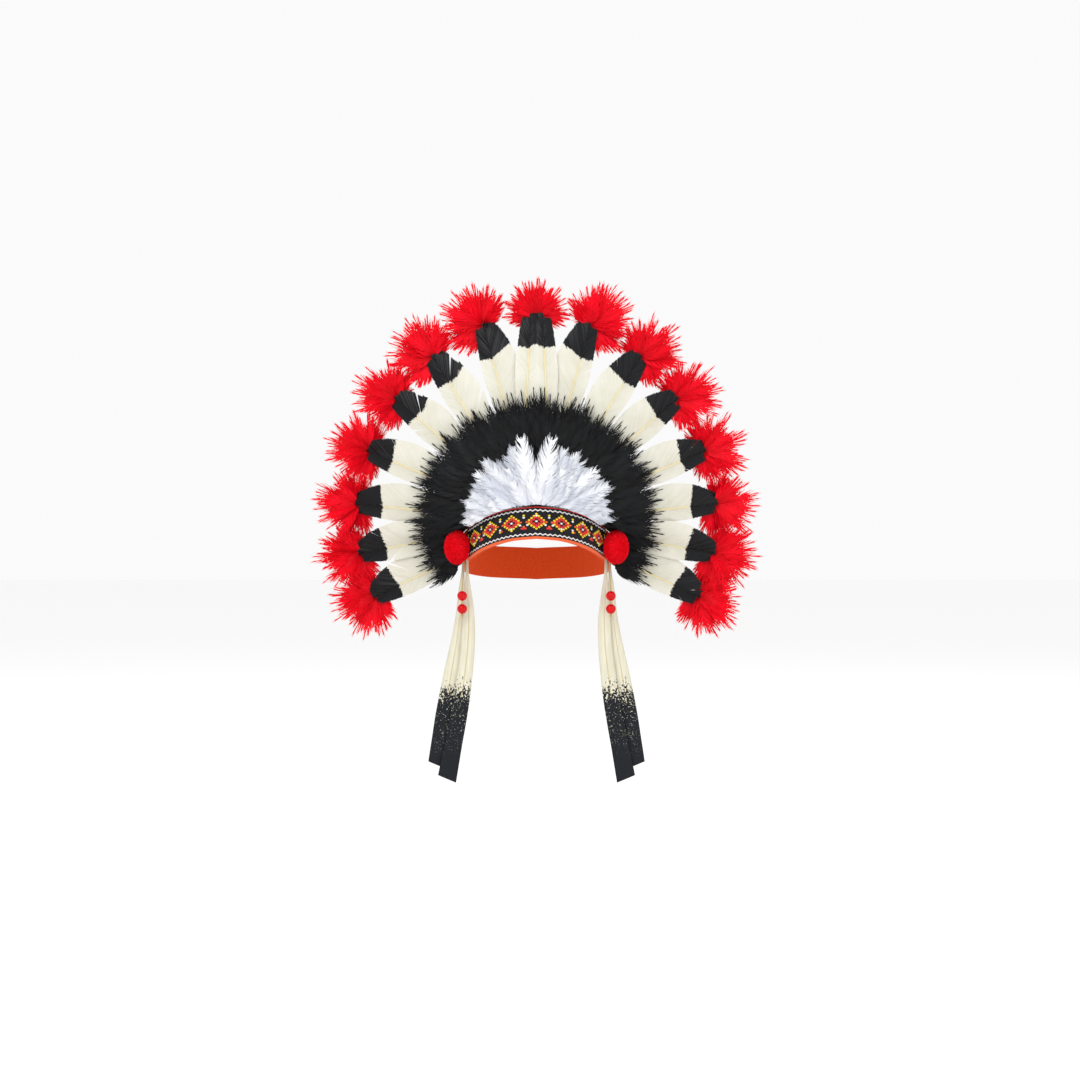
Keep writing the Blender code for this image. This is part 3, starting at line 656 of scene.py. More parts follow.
def dipped_cloth(name):
    """Cream strip with a golden fold line, dipped in black with a speckled edge."""
    finish, nodes, links, shader = new_finish(name, 0.5, sheen=0.04, specular=0.2)
    across, dip = strand_marks(nodes, links)
    cream = add_ramp(
        nodes, links, across,
        ((0.0, (0.68, 0.65, 0.51)), (0.44, (0.75, 0.73, 0.60)), (0.485, (0.60, 0.51, 0.31)),
         (0.515, (0.60, 0.51, 0.31)), (0.56, (0.75, 0.73, 0.60)), (1.0, (0.66, 0.63, 0.49))),
    )
    streaks = add_noise(nodes, links, 90, 4, stretch=(6, 6, 0.5))
    stained = add_ramp(nodes, links, streaks, ((0.35, (0.8, 0.77, 0.68)), (0.65, (1, 1, 1))))
    cloth = add_mix(nodes, links, 0.5, cream, stained, "MULTIPLY")
    speckle = add_noise(nodes, links, 620, 3, stretch=(1, 1, 0.7))
    broad = add_noise(nodes, links, 260, 2, stretch=(1.6, 1.6, 0.4))
    rough = add_sum(nodes, links, "MULTIPLY_ADD", speckle, 0.46, dip)
    both = add_sum(nodes, links, "MULTIPLY_ADD", broad, 0.26, rough)
    edge = add_ramp(nodes, links, both, ((0.84, (0, 0, 0)), (0.86, (1, 1, 1))))
    dipped = add_mix(nodes, links, edge, cloth, (0.006, 0.008, 0.012))
    dots = add_noise(nodes, links, 800, 2)
    missed = add_ramp(nodes, links, dots, ((0.655, (0, 0, 0)), (0.675, (1, 1, 1))))
    fading = add_ramp(nodes, links, dip, ((0.62, (1, 1, 1)), (0.95, (0, 0, 0))))
    spots = add_mix(nodes, links, 1.0, missed, fading, "MULTIPLY")
    links.new(add_mix(nodes, links, spots, dipped, cloth), shader.inputs["Base Color"])
    add_bump(nodes, links, shader, streaks, 0.25, 0.0006)
    return finish


def gloss(name, colour):
    """Hard shiny bead, a little darker in places."""
    finish, nodes, links, shader = new_finish(name, 0.10, coat=0.05, specular=0.2)
    cloudy = add_noise(nodes, links, 160, 2)
    deeper = tuple(c * 0.8 for c in colour)
    links.new(add_ramp(nodes, links, cloudy, ((0.3, deeper), (0.7, colour))), shader.inputs["Base Color"])
    return finish


VANE = dipped_vane("goose barbs", (0.77, 0.76, 0.68), (0.66, 0.64, 0.53), 0.6)
SHAFT = dipped_vane("goose shaft", (0.84, 0.74, 0.44), (0.80, 0.68, 0.38), 0.2)
# Root colours are darker than tip colours: painted shade deep among the barbs and fibres.
RED_DOWN = fluff(
    "red down", (0.50, 0.0, 0.004), (0.98, 0.002, 0.018), 0.6, 0.08, (1.0, 0.1, 0.1), (0.84, 0.6, 0.6)
)
BLACK_HACKLE = fluff(
    "black hackle", (0.001, 0.001, 0.001), (0.009, 0.010, 0.012), 0.5, 0.02, (0.5, 0.55, 0.6),
    (0.3, 0.3, 0.3), 0.16,
)
WHITE_HACKLE = fluff(
    "white hackle", (0.68, 0.69, 0.74), (0.82, 0.83, 0.85), 0.65, 0.03, (1, 1, 1), (0.70, 0.73, 0.80)
)
RED_WOOL = fluff("red wool", (0.55, 0.0, 0.006), (0.95, 0.002, 0.016), 0.8, 0.1, (1.0, 0.2, 0.2))
RED_FELT = felt("orange red felt", (0.55, 0.045, 0.006), (0.80, 0.085, 0.012))
BLACK_FELT = felt("black felt", (0.006, 0.006, 0.007), (0.022, 0.022, 0.024))
GROUND = woven_ground("woven ground")
YELLOW = yarn("yellow stitch", (0.95, 0.72, 0.01), 0.6)
ORANGE = yarn("orange stitch", (0.90, 0.12, 0.01), 0.6)
RED = yarn("red stitch", (0.78, 0.012, 0.012), 0.6)
PALE = yarn("white stitch", (0.90, 0.90, 0.90), 0.6)
CLOTH = dipped_cloth("dipped strip")
BEAD_GLOSS = gloss("red bead", (0.66, 0.002, 0.005))
THREAD = yarn("waxed thread", (0.55, 0.40, 0.16), 0.7, 2500.0)


# Goose feathers

def vane_reach(feather, share, half):
    """Width of one half of a vane at a share of its length."""
    column = 1 if half > 0 else 2
    part = smooth_value(FEATHER_OUTLINE, share, column)
    if feather["shift"] and half > 0 and part > PAIR_MEETS_FROM:
        return abs(feather["shift"]) * pair_lean(feather, share) + PAIR_OVERLAP
    return (feather["wide"] if half > 0 else feather["narrow"]) * part


def pair_lean(feather, share):
    """How much of its shift a middle feather keeps: the pair leans together."""
    return 1 - CENTRE_CONVERGENCE * share if feather["shift"] else 1.0


def vane_point(feather, along, offset, half, rise):
    """A point on a feather: along its length, offset from its shaft, raised off its camber."""
    share = along / feather["length"]
    radius = FEATHER_ROOT_RADIUS + along
    lane = min(offset / max(vane_reach(feather, min(share, 1.0), half), 0.001), 1.0)
    bow = FEATHER_CAMBER * (1 - lane**2)
    risen = smooth_step((radius - FEATHER_ROOT_RADIUS) / (PANEL_RADIUS - FEATHER_ROOT_RADIUS))
    lift = feather["seated"] + (feather["lift"] + bow - feather["seated"]) * risen
    sideways = feather["shift"] * pair_lean(feather, share) + feather["wide_side"] * half * offset
    place = feather["along"] * radius + feather["across"] * sideways
    return on_fan(place.x, FAN_CENTRE_HEIGHT + place.z, lift + rise)


def dip_mark(feather, along, offset, half, stray):
    """Over 0.5 where a point has been dipped in black."""
    length, slant = feather["dip"]
    edge = feather["length"] - length + (slant * offset if half > 0 else 0.08 * offset) + stray
    return 0.5 + (along - edge) / DIP_FADE


def barb_slope(share):
    """How far a barb runs forwards for its reach: barbs near the tip lie closer to the shaft."""
    return BARB_SLOPE_ROOT + (BARB_SLOPE_TIP - BARB_SLOPE_ROOT) * smooth_step((share - 0.45) / 0.5)


def vane_barbs(feather, draw):
    """The barbs of both halves: where each leaves the shaft, how far it reaches, how it strays."""
    barbs = []
    length = feather["length"]
    for half in (1, -1):
        drift = 0.0
        left_in_lock = 0
        end = length if half > 0 else length - NOTCH_DEPTH
        for number in range(BARBS_A_SIDE):
            start = length * number / BARBS_A_SIDE
            if left_in_lock == 0:
                left_in_lock = draw.randint(6, 24)
                drift = draw.uniform(-0.0011, 0.0005)
                if draw.random() < SLIT_CHANCE:
                    drift = -SLIT_DEPTH
            left_in_lock -= 1
            slope = barb_slope(number / BARBS_A_SIDE)
            most = (end + draw.uniform(-0.0006, 0.0002) - start) / slope
            reach = most
            for _ in range(6):
                share = min((start + slope * reach) / length, 1.0)
                reach = (reach + min(vane_reach(feather, share, half), most)) / 2
            reach = max(reach + draw.uniform(-0.0004, 0.0003), SHAFT_HALF_WIDTH)
            stray = draw.gauss(0, 0.0006) + drift * 0.6
            barbs.append((start, half, reach, slope, drift, draw.random(), stray, draw.uniform(-1, 1)))
    return barbs


def goose_feather(name, node, angle, shift, wide, narrow, wide_side, lift, dip, seed):
    """A detailed feather in place of its CAD node: barbs and a shaft, dipped at the tip."""
    draw = random.Random(seed)
    steep = fan_steepness(angle, FEATHER_ROOT_RADIUS)
    feather = {
        "length": tip_radius(angle) - FEATHER_ROOT_RADIUS, "shift": shift, "wide": wide,
        "narrow": narrow, "wide_side": wide_side, "lift": lift, "dip": dip,
        "seated": (PANEL_WALL / 2 + ROOT_GAP + FEATHER_WALL / 2) * steep,
        "along": Vector((math.sin(angle), 0, math.cos(angle))),
        "across": Vector((math.cos(angle), 0, -math.sin(angle))),
    }
    barbs = vane_barbs(feather, draw)
    spacing = feather["length"] / BARBS_A_SIDE

    def place(strip, edge, share):
        start, half, reach, slope, drift, tone, stray, roll = barbs[strip]
        offset = reach * share
        width = spacing * (BARB_COVER_AT_SHAFT + (BARB_COVER_AT_EDGE - BARB_COVER_AT_SHAFT) * share)
        along = start + slope * offset + drift * share**2 + (edge - 0.5) * width
        along = min(along, feather["length"] * 1.004)
        rise = (edge - 0.5) * BARB_ROLL * roll
        shade = 0.15 + 0.55 * share + 0.30 * tone
        point = vane_point(feather, along, offset, half, rise)
        return point, (shade, dip_mark(feather, along, offset, half, stray))

    bm = strip_field(len(barbs), 6, place)
    rows = 30
    reach = feather["length"] * SHAFT_LENGTH_SHARE
    path = [vane_point(feather, reach * k / rows, 0.0, 1, SHAFT_RISE / 2) for k in range(rows + 1)]
    radii = [SHAFT_HALF_WIDTH * (1 - 0.62 * k / rows) for k in range(rows + 1)]

    def shaft_mark(share):
        return 0.5, dip_mark(feather, feather["length"] * share, 0.0, 1, 0.0)

    add_mesh(bm, tube(path, radii, 6, shaft_mark), 1)
    finished_piece(name, bm, (VANE, SHAFT), (node,))


def goose_feathers():
    low, high = FEATHER_LIFTS
    for side, word in SIDES:
        goose_feather(
            f"goose_centre_{word}", f"goose_feather_centre_{word}", 0.0, side * CENTRE_FEATHER_SHIFT,
            CENTRE_FEATHER_SHIFT, CENTRE_NARROW_SIDE, -side, high, PAIR_DIP, 10 + side,
        )
        for number, (degrees, _) in enumerate(FEATHER_PLACES, start=1):
            goose_feather(
                f"goose_{word}_{number}", f"goose_feather_{word}_{number}",
                side * math.radians(degrees), 0.0, FEATHER_WIDE_SIDE, FEATHER_NARROW_SIDE, -side,
                low if number % 2 else high, DIPS[number - 1], 20 * number + side,
            )


# Small feathers: plumes and tufts

def plume_field(hackles, outline, barb_style, segments=2):
    """Many small feathers as one field of barbs.

    Each hackle is (root, run, bend, front, half width, tone): run is the vector from root to tip,
    bend sags it on the way, and front is the way that it faces.
    """
    barbs_a_side, slope, barb_width, taper, painted_edge_shade = barb_style
    draw = random.Random(len(hackles))
    barbs = []
    for root, run, bend, front, half_width, tone in hackles:
        length = run.length
        across = run.cross(front).normalized()
        quill_width = barb_width * QUILL_WIDTH_SHARE
        barbs.append((root, run, bend, front, across, 0.0, 1.0, 0.0, quill_width, tone, 0.0))
        for number in range(barbs_a_side):
            for half in (-1, 1):
                start = FIRST_BARB_SHARE + BARBED_SHARE * (number + draw.random() * 0.7) / barbs_a_side
                end = start + slope * half_width / length * draw.uniform(0.8, 1.25)
                end = min(end, draw.uniform(1.0, 1.07))
                reach = half * half_width * smooth_value(outline, end) * draw.uniform(0.75, 1.1)
                lift = draw.uniform(-0.0004, 0.0006)
                shade = min(max(tone + draw.uniform(-0.2, 0.2), 0.0), 1.0)
                barbs.append((root, run, bend, front, across, start, end, reach, barb_width, shade, lift))

    def place(strip, edge, share):
        root, run, bend, front, across, start, end, reach, width, shade, lift = barbs[strip]
        at = start + (end - start) * share
        spread = reach * math.sin(share * math.pi / 2)
        point = root + run * at + bend * at * at + across * spread + front * lift * share
        side = run.normalized() if reach else across
        point += side * (edge - 0.5) * width * (1.0 - taper * share**1.5)
        # Each barb is painted darker towards its end: painted shade for the gaps between the small feathers.
        return point, (max(shade - painted_edge_shade * share, 0.0), min(at, 1.0) * 0.6 + share * 0.4)

    return strip_field(len(barbs), segments, place)


def rows_of_hackles(draw, style):
    """Hackles side by side round the fan, their roots on the backing, shorter within the notch."""
    hackles = []
    for row, (tip, count) in enumerate(zip(style["tip_radii"], style["counts"])):
        root_at = tip - (style["root_back"] - style["root_step"] * row)
        for number in range(count):
            angle = style["half_angle"] * (2 * (number + draw.uniform(0.2, 0.8)) / count - 1)
            root_radius = max(fan_foot(angle)[0] + style["foot_gap"], root_at)
            end_radius = tip * draw.uniform(0.955, 1.0)
            if abs(angle) < style["notch"]:
                end_radius *= NOTCH_SHARE
            lift = black_lift(angle, root_radius) + style["seat"] + style["row_lift"] * row
            root = fan_point(angle, root_radius, lift + HACKLE_ROOT_LIFT)
            turned = angle + draw.gauss(0, style["swing"])
            length = max(end_radius - root_radius, HACKLE_LEAST_LENGTH)
            rise = fan_depth(angle, root_radius + length) - fan_depth(angle, root_radius)
            run = Vector((math.sin(turned), 0, math.cos(turned))) * length
            run.y = rise - style["slope"] * length * draw.uniform(0.5, 1.1)
            bend = Vector((0, style["slope"] * length * draw.uniform(0.0, 0.5), 0))
            front = Vector((draw.uniform(-0.25, 0.25), -1, draw.uniform(-0.25, 0.25))).normalized()
            width = style["half_width"] * draw.uniform(0.8, 1.15)
            hackles.append((root, run, bend, front, width, draw.random()))
    return hackles


def black_plume():
    """Pointed hackles in overlapping rows on a felt backing, the longest at the back."""
    bm = plume_field(rows_of_hackles(random.Random(7), BLACK_HACKLES), POINTED, BLACK_BARBS)

    def backing(u, v):
        angle = (2 * u - 1) * BACKING_HALF_ANGLE
        inner = max(fan_foot(angle)[0] + BACKING_FOOT_GAP, BACKING_RADII[0])
        radius = inner + (BACKING_RADII[1] - inner) * v
        return fan_point(angle, radius, black_lift(angle, radius) + BACKING_WALL / 2), (u, v)

    add_mesh(bm, mapped_grid(90, 6, backing), 1)
    finished_piece("black_hackles", bm, (BLACK_HACKLE, BLACK_FELT), ("black_plume",))


def white_plume():
    """Rounded soft hackles over the band, shorter ones on top, and a taller pair by the middle notch."""
    hackles = rows_of_hackles(random.Random(8), WHITE_HACKLES)
    for side in (-1, 1):
        angle = side * WHITE_PAIR_ANGLE
        inner = fan_foot(angle)[0] + WHITE_HACKLES["foot_gap"]
        lift = black_lift(angle, inner) + WHITE_HACKLES["seat"] + WHITE_PAIR_LIFT
        root = fan_point(angle, inner, lift)
        rise = WHITE_HACKLES["slope"] * (WHITE_PAIR_TIP - inner)
        run = fan_point(angle, WHITE_PAIR_TIP, lift + rise) - root
        front = Vector((0.15 * side, -1, 0)).normalized()
        hackles.append((root, run, Vector((0, 0, 0)), front, WHITE_PAIR_HALF_WIDTH, 0.9))
    bm = plume_field(hackles, ROUNDED, WHITE_BARBS, 3)
    finished_piece("white_hackles", bm, (WHITE_HACKLE,), ("white_plume",))


def tuft(name, node, angle, lean, reach, lift, seed, side_loss=TUFT_SIDE_LOSS):
    """Burst of soft pointed plumes behind a feather's tip, longest on the side that it leans to."""
    draw = random.Random(seed)
    radius = tip_radius(angle)
    tip = fan_point(angle, radius, lift)
    axis = (fan_point(angle, radius + 0.002, lift) - tip).normalized()
    front = (Vector((0, -1, 0)) - axis * axis.dot(Vector((0, -1, 0)))).normalized()
    turn = Matrix.Rotation(lean, 3, front) @ axis
    across = turn.cross(front)
    root = tip - front * (FEATHER_WALL + 0.4 * TUFT_HEAD_DEPTH) - axis * 0.001
    hackles = []
    for number in range(TUFT_PLUMES):
        spread = (2 * (number * 0.618034 % 1) - 1) * TUFT_SPREAD
        dome = draw.gauss(0, TUFT_DOME)
        way = turn * math.cos(spread) + across * math.sin(spread)
        out = (way * math.cos(dome) + front * math.sin(dome)).normalized()
        if out.dot(axis) < 0.1 and out.dot(front) > 0:
            out -= front * 2 * out.dot(front)
        length = reach * (1 - side_loss * (spread / TUFT_SPREAD) ** 2)
        length *= draw.choice(TUFT_LENGTHS) * draw.uniform(0.95, 1.04)
        bend = (across * draw.uniform(-1, 1) + turn * draw.uniform(-0.8, 0.2)) * length * TUFT_BEND
        facing = (front + across * draw.uniform(-0.4, 0.4)).normalized()
        half_width = draw.uniform(*TUFT_HALF_WIDTHS)
        hackles.append((root, out * length - bend, bend, facing, half_width, draw.random()))
    bm = plume_field(hackles, POINTED, TUFT_BARBS)
    finished_piece(name, bm, (RED_DOWN,), (node,))


def tufts():
    low, high = FEATHER_LIFTS
    for side, word in SIDES:
        for number, (degrees, lean) in enumerate(FEATHER_PLACES, start=1):
            lift = low if number % 2 else high
            tuft(
                f"down_{word}_{number}", f"tuft_{word}_{number}", side * math.radians(degrees),
                -side * math.radians(lean), TUFT_REACH, lift, 40 * number + side,
            )
    tuft(
        "down_centre", "tuft_centre", 0.0, 0.0, CENTRE_TUFT_REACH, high, 5, CENTRE_TUFT_SIDE_LOSS
    )


# Pompoms, ribbons and beads at the temples

def pompom(name, node, side, seed):
    """Clipped wool ball: dense short fibres that stand on a core."""
    draw = random.Random(seed)
    angle = side * POMPOM_RING_ANGLE
    normal = ring_normal(angle)
    along = UP.cross(normal)
    seat = ring_point(angle, FELT_WALL + SEAT_GAP + TRIM_WALL + SEAT_GAP, -POMPOM_DROP)
    centre = seat + normal * POMPOM_HALF_DEPTH
    fibres = []
    golden = math.pi * (3 - math.sqrt(5))
    for number in range(POMPOM_FIBRES):
        z = 1 - 2 * (number + 0.5) / POMPOM_FIBRES
        turn = golden * number
        level = math.sqrt(1 - z * z)
        way = Vector((level * math.cos(turn), level * math.sin(turn), z))
        way = (way + Vector([draw.gauss(0, 0.05) for _ in range(3)])).normalized()
        fibres.append((way, draw.uniform(0.93, 1.02), draw.uniform(0, math.pi), draw.random()))

    def place(strip, edge, share):
        way, reach, turn, tone = fibres[strip]
        size = FIBRE_ROOT_SHARE + (reach - FIBRE_ROOT_SHARE) * share
        point = (along * way.x + UP * way.y) * POMPOM_RADIUS + normal * way.z * POMPOM_HALF_DEPTH
        spin = (along * math.cos(turn) + UP * math.sin(turn)) * (edge - 0.5)
        wide = POMPOM_FIBRE_WIDTH * (1 - 0.35 * share)
        return centre + point * size + spin * wide, (tone, share)

    bm = strip_field(POMPOM_FIBRES, 2, place)

    def core(u, v):
        turn, tilt = 2 * math.pi * u, math.pi * v
        level = POMPOM_RADIUS * math.sin(tilt)
        point = along * level * math.cos(turn) + UP * level * math.sin(turn)
        point += normal * POMPOM_HALF_DEPTH * math.cos(tilt)
        return centre + point * POMPOM_CORE_SHARE, (0.6, 0.75)

    add_mesh(bm, mapped_grid(32, 16, core))
    finished_piece(name, bm, (RED_WOOL,), (node,))


def ribbon(name, node, side, sections, length, swing, ring_angle, end_depth):
    """Long narrow strip: flat on the band under the pompom, turned to the front below it."""
    outward = FELT_WALL + SEAT_GAP + RIBBON_WALL / 2
    top = ring_point(ring_angle, outward, 0.0)
    normal_angle = math.atan2(ring_normal(ring_angle).x, -ring_normal(ring_angle).y)

    def place(u, v):
        shift = smooth_value(sections, v, 1) * swing
        reach = smooth_value(sections, v, 2) * RIBBON_HALF_WIDTH
        turn = smooth_value(sections, v, 3) * normal_angle
        lane = 2 * u - 1
        depth = top.y + (end_depth - top.y) * smooth_step(v * 2)
        across = Vector((math.cos(turn), math.sin(turn), 0))
        facing = Vector((math.sin(turn), -math.cos(turn), 0))
        point = Vector((top.x + shift, depth, top.z - length * v))
        point += across * lane * reach - facing * RIBBON_FOLD * abs(lane) * smooth_step(v * 3)
        point.z += RIBBON_END_SLANT * lane * reach * smooth_step(v * 6 - 5)
        point.x *= side
        return point, (u, 0.5 + (RIBBON_DIP_HEIGHT - point.z) / RIBBON_DIP_FADE)

    bm = mapped_grid(10, 90, place)
    piece = finished_piece(name, bm, (CLOTH,), (node,))
    add_wall(piece, RIBBON_WALL * 0.6)
    ribbon_area(sections, length)


def ribbon_area(sections, length):
    """Flat area of a ribbon, from its widths along its length."""
    steps = 60
    widths = [2 * RIBBON_HALF_WIDTH * smooth_value(sections, (k + 0.5) / steps, 2) for k in range(steps)]
    return sum(widths) * length / steps


def bead(name, node):
    """Drilled glossy bead: a ring profile spun about its hole, where its CAD node is."""
    low, high = (Vector(corner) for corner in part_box(node))
    centre = (low + high) / 2
    bm = bmesh.new()
    half_hole = math.sqrt(BEAD_RADIUS**2 - BEAD_HOLE_RADIUS**2)
    first = math.asin(half_hole / BEAD_RADIUS)
    steps = 20
    turns = [first - 2 * first * k / steps for k in range(steps + 1)]
    profile = [Vector((BEAD_RADIUS * math.cos(t), 0, BEAD_RADIUS * math.sin(t))) for t in turns]
    verts = [bm.verts.new(centre + point) for point in profile]
    for a, b in zip(verts, verts[1:] + verts[:1]):
        bm.edges.new((a, b))
    bmesh.ops.spin(
        bm, geom=bm.verts[:] + bm.edges[:], cent=centre, axis=(0, 0, 1),
        angle=2 * math.pi, steps=32, use_merge=True,
    )
    bmesh.ops.recalc_face_normals(bm, faces=bm.faces[:])
    finished_piece(name, bm, (BEAD_GLOSS,), (node,))


def temple_hangings():
    for side, word in SIDES:
        pompom(f"wool_{word}", f"pompom_{word}", side, 3 + side)
        ribbon(
            f"strip_outer_{word}", f"ribbon_outer_{word}", side, OUTER_RIBBON_SECTIONS,
            OUTER_RIBBON_LENGTH, OUTER_RIBBON_SWING, OUTER_RIBBON_RING_ANGLE, OUTER_RIBBON_DEPTH,
        )
        ribbon(
            f"strip_inner_{word}", f"ribbon_inner_{word}", side, INNER_RIBBON_SECTIONS,
            INNER_RIBBON_LENGTH, INNER_RIBBON_SWING, INNER_RIBBON_RING_ANGLE, INNER_RIBBON_DEPTH,
        )
        for number in (1, 2):
            bead(f"gloss_bead_{word}_{number}", f"bead_{word}_{number}")


# Woven trim

def arc_table(outward):
    """(arc length, ring angle) pairs from the forehead's middle to past the trim's end."""
    rows = [(0.0, 0.0)]
    for k in range(1, ARC_STEPS + 1):
        before = (k - 1) / ARC_STEPS * TRIM_HALF_ANGLE * ARC_SPARE
        after = k / ARC_STEPS * TRIM_HALF_ANGLE * ARC_SPARE
        step = ring_point(after, outward, 0) - ring_point(before, outward, 0)
        rows.append((rows[-1][0] + math.hypot(step.x, step.y), after))
    return rows


TRIM_FACE = FELT_WALL + SEAT_GAP + TRIM_WALL
ARCS = arc_table(TRIM_FACE)
TRIM_REACH = ARCS[-1][0] / ARC_SPARE


def ring_angle_at(arc):
    """Ring angle at an arc length from the forehead's middle."""
    side = 1 if arc >= 0 else -1
    arc = abs(arc)
    for (low, before), (high, after) in zip(ARCS, ARCS[1:]):
        if arc <= high:
            return side * (before + (after - before) * (arc - low) / (high - low))
    return side * ARCS[-1][1]


def trim_point(arc, above, rise):
    return ring_point(ring_angle_at(arc), TRIM_FACE + rise, above)


def diamond_stitches(centre, number):
    """One charted diamond: rings of stitches round a white middle, by steps from the middle."""
    stitches = []
    for i in range(-4, 5):
        for j in range(-4, 5):
            steps = abs(i) + abs(j)
            if steps > 4 or steps == 1:
                continue
            colour = {0: PALE, 2: RED, 3: RED, 4: YELLOW}[steps]
            if steps == 4 and j == 0:
                colour = ORANGE
            if steps == 3 and (abs(i) == 3 or (number % 2 and j == 3)):
                colour = ORANGE
            if number % 2 and (i, j) == (0, -3):
                colour = PALE
            if number % 2 == 0 and (i, j) == (0, 3):
                colour = PALE
            stitches.append((centre + i * STITCH_WIDTH, DIAMOND_HEIGHT + j * STITCH_HEIGHT, colour))
    return stitches


def spacer_stitches(centre, number):
    """Small motifs between two diamonds: a dot over a dot above, and a bud below."""
    top = DIAMOND_HEIGHT + 3.6 * STITCH_HEIGHT
    low = DIAMOND_HEIGHT - 3.4 * STITCH_HEIGHT
    stitches = [(centre, top, YELLOW), (centre, top - 1.15 * STITCH_HEIGHT, PALE)]
    if number % 2:
        stitches += [(centre, low, YELLOW), (centre, low + 1.1 * STITCH_HEIGHT, PALE)]
        stitches += [(centre + 0.8 * STITCH_WIDTH, low + 0.2 * STITCH_HEIGHT, RED)]
    else:
        stitches += [(centre + k * 0.75 * STITCH_WIDTH, low, RED) for k in (-1, 0, 1)]
        stitches += [(centre, low + 0.9 * STITCH_HEIGHT, ORANGE)]
        stitches += [(centre + k * 1.5 * STITCH_WIDTH, low + 1.8 * STITCH_HEIGHT, PALE) for k in (-1, 1)]
    return stitches


def add_stitch(bm, pad, arc, above, finish_number, size):
    """One raised stitch: a small rounded pad that lies on the trim."""
    angle = ring_angle_at(arc)
    outward = ring_normal(angle)
    along = UP.cross(outward)
    climb = band_height(angle + SLANT_STEP) - band_height(angle - SLANT_STEP)
    slant = climb / (2 * SLANT_STEP) / HEAD_MEAN_RADIUS
    along = (along + UP * slant).normalized()
    turn = Matrix((along, UP, outward)).transposed()
    where = ring_point(angle, TRIM_FACE, above)
    fill = STITCH_FILL * size
    reach = Matrix.Diagonal(Vector((STITCH_WIDTH * fill, STITCH_HEIGHT * fill, STITCH_RISE)))
    matrix = Matrix.Translation(where) @ (turn @ reach).to_4x4()
    pad.transform(matrix)
    faces_before = len(bm.faces)
    bm.from_mesh(pad)
    pad.transform(matrix.inverted())
    bm.faces.ensure_lookup_table()
    for face in bm.faces[faces_before:]:
        face.material_index = finish_number


def trim_pattern():
    """Every raised stitch of the trim, as one piece."""
    finishes = (YELLOW, ORANGE, RED, PALE)
    stitches = []
    for number in range(-4, 5):
        stitches += diamond_stitches(number * DIAMOND_PITCH, number)
    for number in range(-4, 4):
        stitches += spacer_stitches((number + 0.5) * DIAMOND_PITCH, number if number >= 0 else -number - 1)
    shape = bmesh.new()
    bmesh.ops.create_icosphere(shape, subdivisions=2, radius=1.0)
    low = [vert for vert in shape.verts if vert.co.z < -0.3]
    bmesh.ops.delete(shape, geom=low, context="VERTS")
    pad = bpy.data.meshes.new("pad")
    shape.to_mesh(pad)
    shape.free()
    bm = bmesh.new()
    draw = random.Random(12)
    for arc, above, colour in stitches:
        if abs(arc) < TRIM_REACH * STITCHED_SHARE:
            add_stitch(bm, pad, arc, above, finishes.index(colour), draw.uniform(0.94, 1.06))
    bpy.data.meshes.remove(pad)
    finished_piece("trim_pattern", bm, finishes)


def edge_cord(name, above, radius, finish):
    """A thin cord along an edge of the trim."""
    steps = 160
    path = [trim_point(TRIM_REACH * (2 * k / steps - 1), above, 0.0) for k in range(steps + 1)]
    bm = tube(path, [radius] * (steps + 1), 8, lambda share: (0.5, share))
    finished_piece(name, bm, (finish,))


def zigzags():
    """The two white zigzag lines, each a flat plait that swings from side to side."""
    turns = 2 * round(2 * TRIM_REACH / ZIGZAG_PERIOD)
    bm = bmesh.new()
    for height in ZIGZAG_HEIGHTS:
        steps = turns * 2

        def place(u, v, height=height, steps=steps):
            k = round(v * steps)
            swing = (0, 1, 0, -1)[k % 4] * ZIGZAG_SWING
            arc = TRIM_REACH * (2 * v - 1)
            rise = 0.0004 + 0.0004 * math.sin(math.pi * u)
            return trim_point(arc, height + swing + (u - 0.5) * ZIGZAG_WIDTH, rise), (0.5, v)

        add_mesh(bm, mapped_grid(4, steps, place))
    finished_piece("trim_zigzags", bm, (PALE,))


def woven_trim():
    """The trim's ground in place of its CAD node, with its stitches and edges."""

    def place(u, v):
        arc = TRIM_REACH * (2 * u - 1)
        above = (v - 0.5) * TRIM_HEIGHT
        return trim_point(arc, above, -TRIM_WALL / 2), (arc / WEAVE_CELL[0], above / WEAVE_CELL[1])

    bm = mapped_grid(150, 12, place)
    ground = finished_piece("trim_ground", bm, (GROUND,), ("woven_trim",))
    add_wall(ground, TRIM_WALL)
    trim_pattern()
    zigzags()
    edge_cord("trim_lower_edge", -TRIM_HEIGHT / 2 + EDGE_RISE, LOWER_EDGE_RADIUS, ORANGE)
    edge_cord("trim_upper_edge", TRIM_HEIGHT / 2 + EDGE_RISE, UPPER_EDGE_RADIUS, RED)


def repaint(node, finish):
    """Gives a CAD node that stays its finish."""
    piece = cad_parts[node]
    if not piece.material_slots:
        piece.data.materials.append(None)
    for place in piece.material_slots:
        place.material = finish


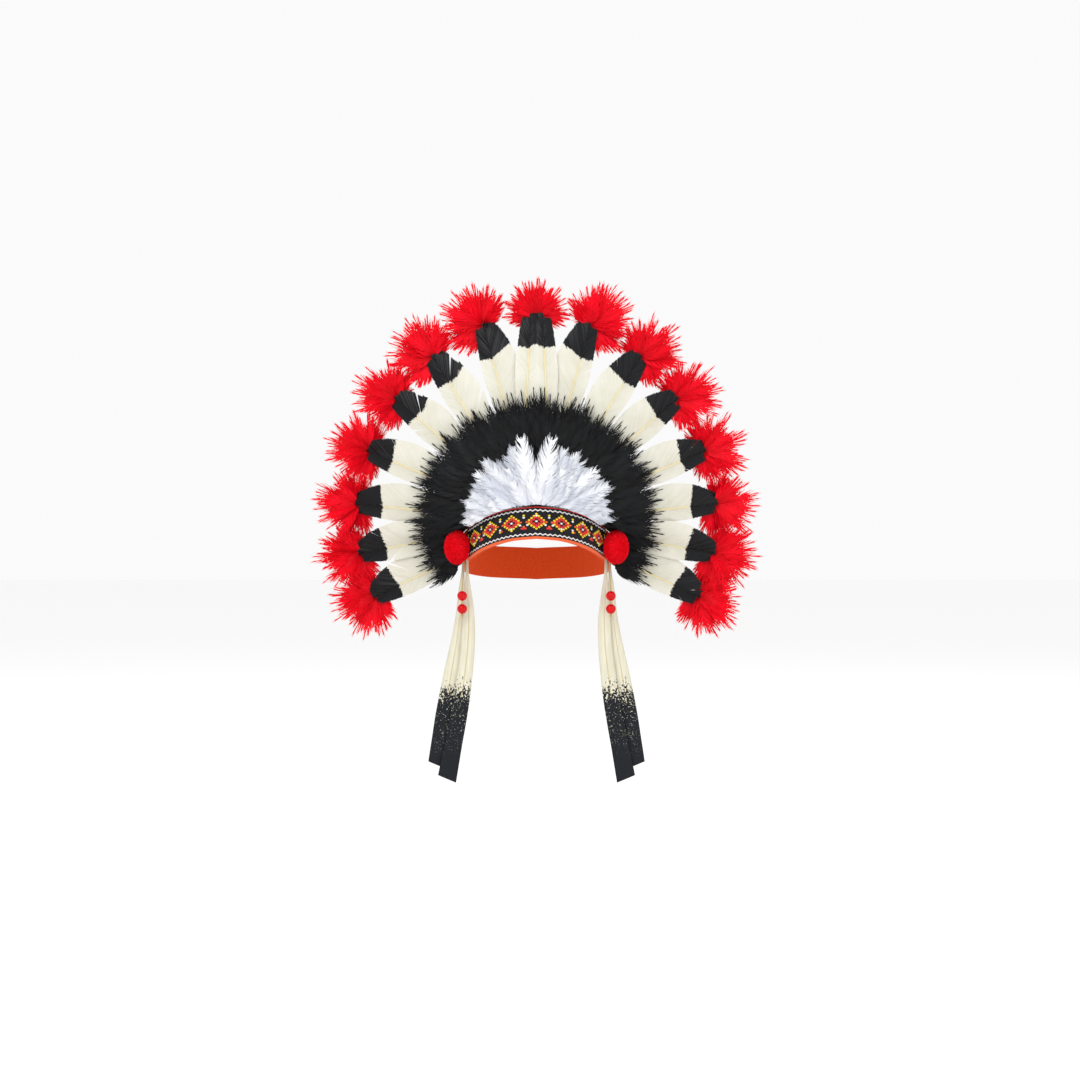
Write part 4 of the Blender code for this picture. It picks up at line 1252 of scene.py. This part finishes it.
def set_camera():
    """Camera at the photo's angle, a little above level."""
    camera = bpy.data.objects.new("camera", bpy.data.cameras.new("camera"))
    back = Vector((0, -math.cos(CAMERA_ELEVATION), math.sin(CAMERA_ELEVATION)))
    camera.location = CAMERA_AIM + back * CAMERA_DISTANCE
    camera.rotation_euler = (math.radians(90) - CAMERA_ELEVATION, 0, 0)
    camera.data.sensor_width = CAMERA_SENSOR
    camera.data.lens = CAMERA_SENSOR * CAMERA_DISTANCE / FRAME_WIDTH
    bpy.context.scene.collection.objects.link(camera)
    bpy.context.scene.camera = camera


def lay_floor():
    """Plain pale floor under the ribbons."""
    bm = bmesh.new()
    bmesh.ops.create_grid(bm, x_segments=1, y_segments=1, size=FLOOR_REACH)
    bmesh.ops.translate(bm, verts=bm.verts[:], vec=(0, 0, FLOOR_HEIGHT))
    mesh = bpy.data.meshes.new("floor")
    bm.to_mesh(mesh)
    bm.free()
    floor_finish, _, _, shader = new_finish("pale floor", 0.9)
    shader.inputs["Base Color"].default_value = (0.97, 0.97, 0.97, 1)
    mesh.materials.append(floor_finish)
    floor = bpy.data.objects.new("floor", mesh)
    bpy.context.scene.collection.objects.link(floor)


def set_lights():
    """Soft studio light from three sides and all round."""
    for name, place, size, power in LIGHTS:
        light = bpy.data.objects.new(name, bpy.data.lights.new(name, "AREA"))
        light.data.energy = power
        light.data.size = size
        light.location = place
        light.rotation_euler = (-Vector(place)).to_track_quat("-Z", "Y").to_euler()
        bpy.context.scene.collection.objects.link(light)
    world = bpy.data.worlds.new("soft light")
    world.use_nodes = True
    world.node_tree.nodes["Background"].inputs["Color"].default_value = (1, 1, 1, 1)
    world.node_tree.nodes["Background"].inputs["Strength"].default_value = WORLD_STRENGTH
    bpy.context.scene.world = world
    bpy.context.scene.view_settings.view_transform = "Standard"


set_camera()
lay_floor()
set_lights()
repaint("felt_band", RED_FELT)
repaint("fan_panel", BLACK_FELT)
for _, word in SIDES:
    repaint(f"bead_thread_{word}", THREAD)
goose_feathers()
tufts()
black_plume()
white_plume()
temple_hangings()
woven_trim()
